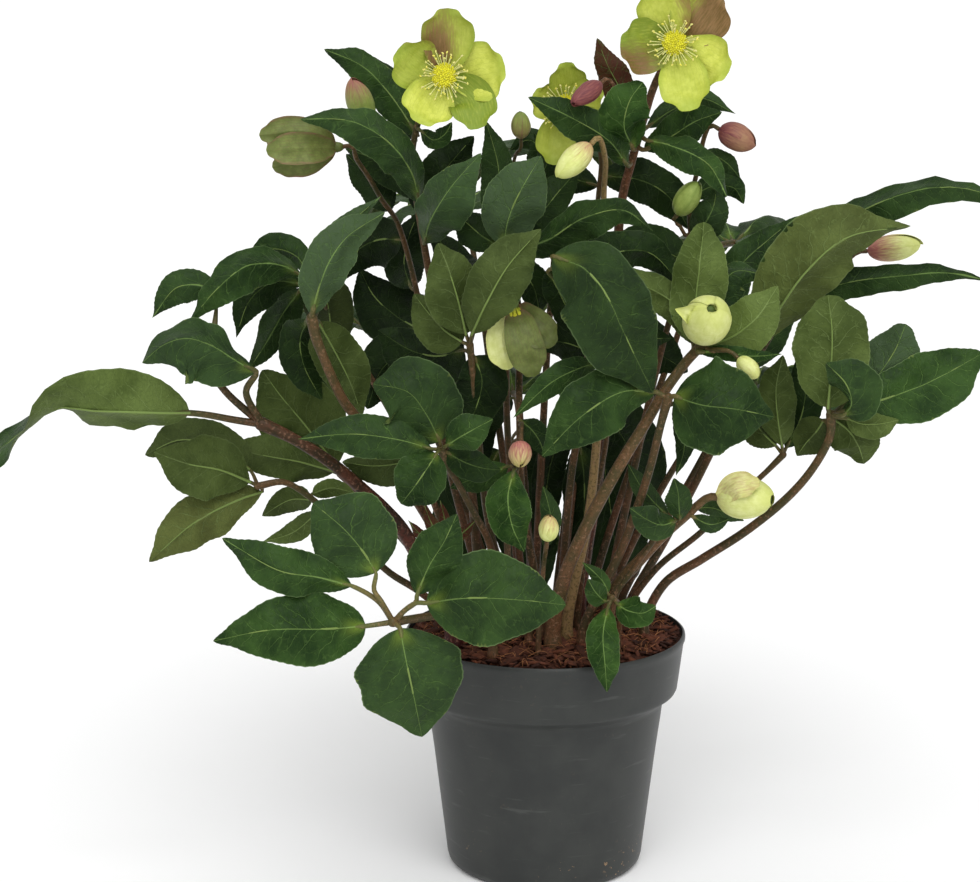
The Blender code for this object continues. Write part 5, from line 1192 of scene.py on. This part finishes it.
def add_bud(pile, bud, rng, wraps=5, mouth=1.0):
    """Overlapping sepals wrapped round the bud's axis, each one's margin a little proud of the next. mouth is
    the share of the length at which they end, leaving the bud open."""
    length = (bud.tip - bud.base).length
    axis, side, other = square_to(bud.tip - bud.base, [0.2, 0.35, 0.9])
    rows, columns = 26, 17
    s = np.linspace(0.0, mouth, rows)
    u = across_columns(columns, 0.9)
    radius = bud.width * np.array([outline(BUD_FORM, min(max(x, 0.0005), 0.9995)) for x in s])
    first = rng.uniform(0, 2 * math.pi)
    for k in range(wraps):
        turn = first + 2 * math.pi * k * 2 / wraps
        span = math.radians(62) * (1 - 0.25 * s**3)[:, None] * u[None, :]
        lift = (0.25 + 0.55 * (u > 0) * u**2 + 0.3 * (k % 2)) * MM
        swell = 1 + 0.05 * np.cos(span) - 0.02
        size = radius[:, None] * swell + lift[None, :] * np.minimum(1, s * 5)[:, None]
        wave = 0.25 * MM * np.sin(s * 9 + k)[:, None] * np.abs(u)[None, :] ** 2
        angle = turn + span + 0.25 * s[:, None]
        ring = np.cos(angle)[..., None] * side + np.sin(angle)[..., None] * other
        tip = length * (1 + 0.05 * rng.uniform(-1, 1))
        points = np.array(bud.base) + axis * (s * tip)[:, None, None] + ring * (size + wave)[..., None]
        thick = 0.25 * MM * (1 - np.abs(u) ** 6)[None, :, None]
        flat = np.stack([size * span, np.repeat((s * tip)[:, None], columns, 1)], -1) * PER_CM
        tone = np.zeros((rows, columns, 4))
        tone[..., 0] = bud.stain + bud.change * s[:, None] + 0.1 * np.clip(np.abs(u) * 5 - 4, 0, 1)[None, :]
        tone[..., 1] = rng.uniform(0.1, 0.4)
        tone[..., 2] = rng.uniform(0.95, 1.05)
        tone[..., 3] = rng.uniform(0, 1)
        pile.sheets(points, ring * thick, (0, 0), tone, u, s, flat)


def add_chip(pile, place, size, rng, slot, tone):
    """A flake of bark: a rough lens shape of the given length, width and thickness, turned any way."""
    turn = rng.uniform(0, 2 * math.pi)
    tip = rng.uniform(-0.5, 0.5)
    along = unit(np.array([math.cos(turn), math.sin(turn), tip]))
    across = unit(np.cross(along, [rng.uniform(-0.4, 0.4), rng.uniform(-0.4, 0.4), 1]))
    up = np.cross(along, across)
    sides, rows = 7, 4
    angle = np.linspace(0, 2 * math.pi, sides, endpoint=False)
    lean = np.linspace(0.12, math.pi - 0.12, rows + 1)
    lean[[0, -1]] = 0, math.pi
    points = (-np.cos(lean)[:, None, None] * along * size[0] / 2
              + (np.sin(lean)[:, None] * np.cos(angle))[..., None] * across * size[1] / 2
              + (np.sin(lean)[:, None] * np.sin(angle))[..., None] * up * size[2] / 2)
    rough = rng.uniform(0.72, 1.25, (rows + 1, sides, 1))
    rough[[0, -1]] = 1
    pile.grid(np.array(place) + points * rough, slot, tone, closed=True)


def add_soil(pile, rng):
    """The block of soil, with bark flakes and coir threads over its top."""
    rings, sides = 40, 120
    radius = np.linspace(0.0005, SOIL_RADIUS, rings) * MM
    turn = np.linspace(0, 2 * math.pi, sides, endpoint=False)
    x = radius[:, None] * np.cos(turn)
    y = radius[:, None] * np.sin(turn)
    swells = ((1.2 * MM, 90, 60, 0.3), (1.0 * MM, -130, 170, 1.2), (0.7 * MM, 330, 210, 2.0),
              (0.6 * MM, -260, 420, 4.0))
    rise = sum(size * np.sin(x * a + y * c + d) for size, a, c, d in swells)
    rise = rise + rng.uniform(-0.8, 0.8, x.shape) * MM
    rise[0] = rise[0].mean()
    fade = np.clip((SOIL_RADIUS * MM - radius) / (6 * MM), 0, 1)[:, None]
    top = np.stack([x, y, SOIL_TOP - 1.5 * MM * (1 - fade) + rise * fade - 1.5 * MM * fade], -1)
    dark = (0.3, 0.75, 0, 0)
    pile.grid(top, 0, dark, closed=True)
    wall = [(92.2, 158.0), (90.5, 145.0), (87.4, 124.0), (77.9, 116.0), (64.4, 7.0), (61.0, 3.4), (0.01, 3.4)]
    ring = np.stack([np.cos(turn), np.sin(turn)], -1)
    shell = np.array([[(*(c * r * MM), h * MM) for c in ring] for r, h in wall])
    pile.grid(shell, 0, dark, closed=True)
    for _ in range(BARK_CHIPS):
        out = math.sqrt(rng.uniform(0, 1)) * 90 * MM
        angle = rng.uniform(0, 2 * math.pi)
        length = rng.gamma(2.2, 3.0) * MM + 2 * MM
        length = min(length, 20 * MM, max((92 * MM - out) * 1.8, 3 * MM))
        size = (length, length * rng.uniform(0.25, 0.6), length * rng.uniform(0.1, 0.25) + 0.6 * MM)
        place = (out * math.cos(angle), out * math.sin(angle), SOIL_TOP + rng.uniform(-1.5, 3.0) * MM)
        add_chip(pile, place, size, rng, 0, (rng.uniform(0, 1), rng.uniform(0.5, 1.25), 0, 0))
    for _ in range(COIR_THREADS):
        out = math.sqrt(rng.uniform(0, 1)) * 84 * MM
        angle, heading = rng.uniform(0, 2 * math.pi, 2)
        length = min(rng.uniform(8, 26) * MM, (90 * MM - out) * 0.9)
        start = Vector((out * math.cos(angle), out * math.sin(angle), SOIL_TOP + rng.uniform(0.5, 3) * MM))
        way = Vector((math.cos(heading), math.sin(heading), 0))
        bow = Vector((rng.uniform(-3, 3), rng.uniform(-3, 3), rng.uniform(1, 5))) * MM
        route = [start, start + way * length / 2 + bow, start + way * length]
        tone = (rng.uniform(0.6, 1.0), rng.uniform(0.9, 1.6), 0, 0)
        add_tube(pile, Line(route), [(0, 0.22 * MM), (1, 0.12 * MM)], 1, (tone, tone), 4, 4 * MM)


def build_pot():
    """The pot, with real drain holes through its floor."""
    pile = Pile()
    profile = [(height * MM, radius * MM) for radius, height in POT_OUTLINE]
    add_turned(pile, (0, 0, 0), (0, 0, 1), profile, 0, (0, 0, 0, 0), 144)
    made = pile.piece("pot_detail", [pot_plastic()], "pot")
    shape = bmesh.new()
    shape.from_mesh(made.data)
    bmesh.ops.remove_doubles(shape, verts=shape.verts, dist=0.02 * MM)
    bmesh.ops.recalc_face_normals(shape, faces=shape.faces)
    shape.to_mesh(made.data)
    shape.free()
    for k in range(DRAIN_HOLES):
        turn = 2 * math.pi * k / DRAIN_HOLES
        place = (42 * MM * math.cos(turn), 42 * MM * math.sin(turn), 0)
        cutter_mesh = bpy.data.meshes.new("cutter")
        shape = bmesh.new()
        bmesh.ops.create_cone(shape, cap_ends=True, segments=24, radius1=4 * MM, radius2=4 * MM,
                              depth=20 * MM, matrix=Matrix.Translation(place))
        shape.to_mesh(cutter_mesh)
        shape.free()
        cutter = add_object("cutter", cutter_mesh)
        cut = made.modifiers.new("hole", "BOOLEAN")
        cut.operation = "DIFFERENCE"
        cut.object = cutter
        graph = bpy.context.evaluated_depsgraph_get()
        mesh = bpy.data.meshes.new_from_object(made.evaluated_get(graph))
        made.modifiers.clear()
        made.data = mesh
        bpy.data.objects.remove(cutter)
    made.data.set_sharp_from_angle(angle=math.radians(40))


def build_plant():
    rng = np.random.default_rng(PLANT_SEED)
    leaf_finishes = [leaf_top(), leaf_under(), stalk_skin()]
    shoots = {**read_shoots(LEAF_TABLE), **read_spread_leaves(BACK_TABLE), **read_shoots(STEM_TABLE)}
    for name, plant in shoots.items():
        pile = Pile()
        add_growth(pile, name, plant, rng)
        pile.piece(name + "_detail", leaf_finishes, name)
    skins = {name: petal_skin(*skin) for name, skin in PETAL_SKINS.items()}
    pollen = pollen_skin()
    for name, flower in FLOWERS.items():
        pile = Pile()
        add_cup(pile, name, flower, rng)
        used = [skins["dull"], skins["cream"]] if name in SIDEWAYS else [skins["lime"]]
        pile.piece(name + "_detail", used, name)
        pile = Pile()
        if name in SIDEWAYS:
            add_stamens(pile, flower, rng, 24, 5 * MM)
            pile.piece(name + "_centre_detail", [pollen], None)
        else:
            add_stamens(pile, flower, rng, 52, 16 * MM)
            pile.piece(name + "_centre_detail", [pollen], name + "_centre")
    for name, bud in BUDS.items():
        pile = Pile()
        if name in OPEN_BUDS:
            mouth, base, tip, width, sepal = OPEN_BUDS[name]
            bud = bud._replace(base=at(*base), tip=at(*tip), width=width)
            add_bud(pile, bud, rng, 5, mouth)
            inner = bud._replace(width=bud.width * 0.84, tip=bud.base.lerp(bud.tip, 0.97))
            add_bud(pile, inner, rng, 3, mouth)
            add_blade(pile, read_blade(sepal.split("; ")), (bud.stain, 0.1, 0.96, 0.3), rng, PETAL, (0, 0))
            way = np.array(bud.tip - bud.base)
            add_ball(pile, np.array(bud.base) + way * 0.79, unit(way), bud.width * 1.1, bud.width * 0.42, 1,
                     (0, 1, 0.55, 0), 12, 8)
        else:
            add_bud(pile, bud, rng)
        pile.piece(name + "_detail", [skins[bud.skin], skins["green"]], name)


def build_stage():
    """The floor, the light and the camera."""
    mesh = bpy.data.meshes.new("floor")
    corners = [(x * FLOOR_REACH, y * FLOOR_REACH, 0) for x, y in ((-1, -1), (1, -1), (1, 1), (-1, 1))]
    mesh.from_pydata(corners, [], [(0, 1, 2, 3)])
    mesh.materials.append(paper())
    floor = add_object("floor", mesh)
    floor.location.z = -0.05 * MM
    world = bpy.data.worlds.new("studio")
    world.use_nodes = True
    background = world.node_tree.nodes["Background"]
    background.inputs["Color"].default_value = (1, 1, 1, 1)
    seen = world.node_tree.nodes.new("ShaderNodeLightPath")
    strength = world.node_tree.nodes.new("ShaderNodeMapRange")
    strength.inputs["To Min"].default_value = 0.72
    strength.inputs["To Max"].default_value = 1.1
    world.node_tree.links.new(seen.outputs["Is Camera Ray"], strength.inputs["Value"])
    world.node_tree.links.new(strength.outputs["Result"], background.inputs["Strength"])
    bpy.context.scene.world = world
    for name, turn, power, spread in (("key", (38, -14, 20), 1.6, 50), ("fill", (60, 30, 0), 0.55, 70)):
        data = bpy.data.lights.new(name, "SUN")
        data.energy = power
        data.angle = math.radians(spread)
        add_object(name, data).rotation_euler = [math.radians(x) for x in turn]
    camera = bpy.data.cameras.new("camera")
    camera.sensor_width = SENSOR_WIDTH
    camera.lens = FOCAL_PIXELS / PICTURE_WIDTH * SENSOR_WIDTH
    holder = add_object("camera", camera)
    holder.location = EYE
    holder.rotation_euler = (math.pi / 2 - EYE_PITCH, 0, 0)
    bpy.context.scene.camera = holder
    bpy.context.scene.view_settings.view_transform = "Standard"


def build_soil():
    pile = Pile()
    add_soil(pile, np.random.default_rng(SOIL_SEED))
    finish = bark("bark", (srgb(66, 36, 26), srgb(108, 62, 42), srgb(38, 22, 18)))
    coir = bark("coir", (srgb(104, 62, 38), srgb(160, 108, 70), srgb(68, 40, 26)))
    pile.piece("soil_detail", [finish, coir], "soil")


build_plant()
build_pot()
build_soil()
build_stage()
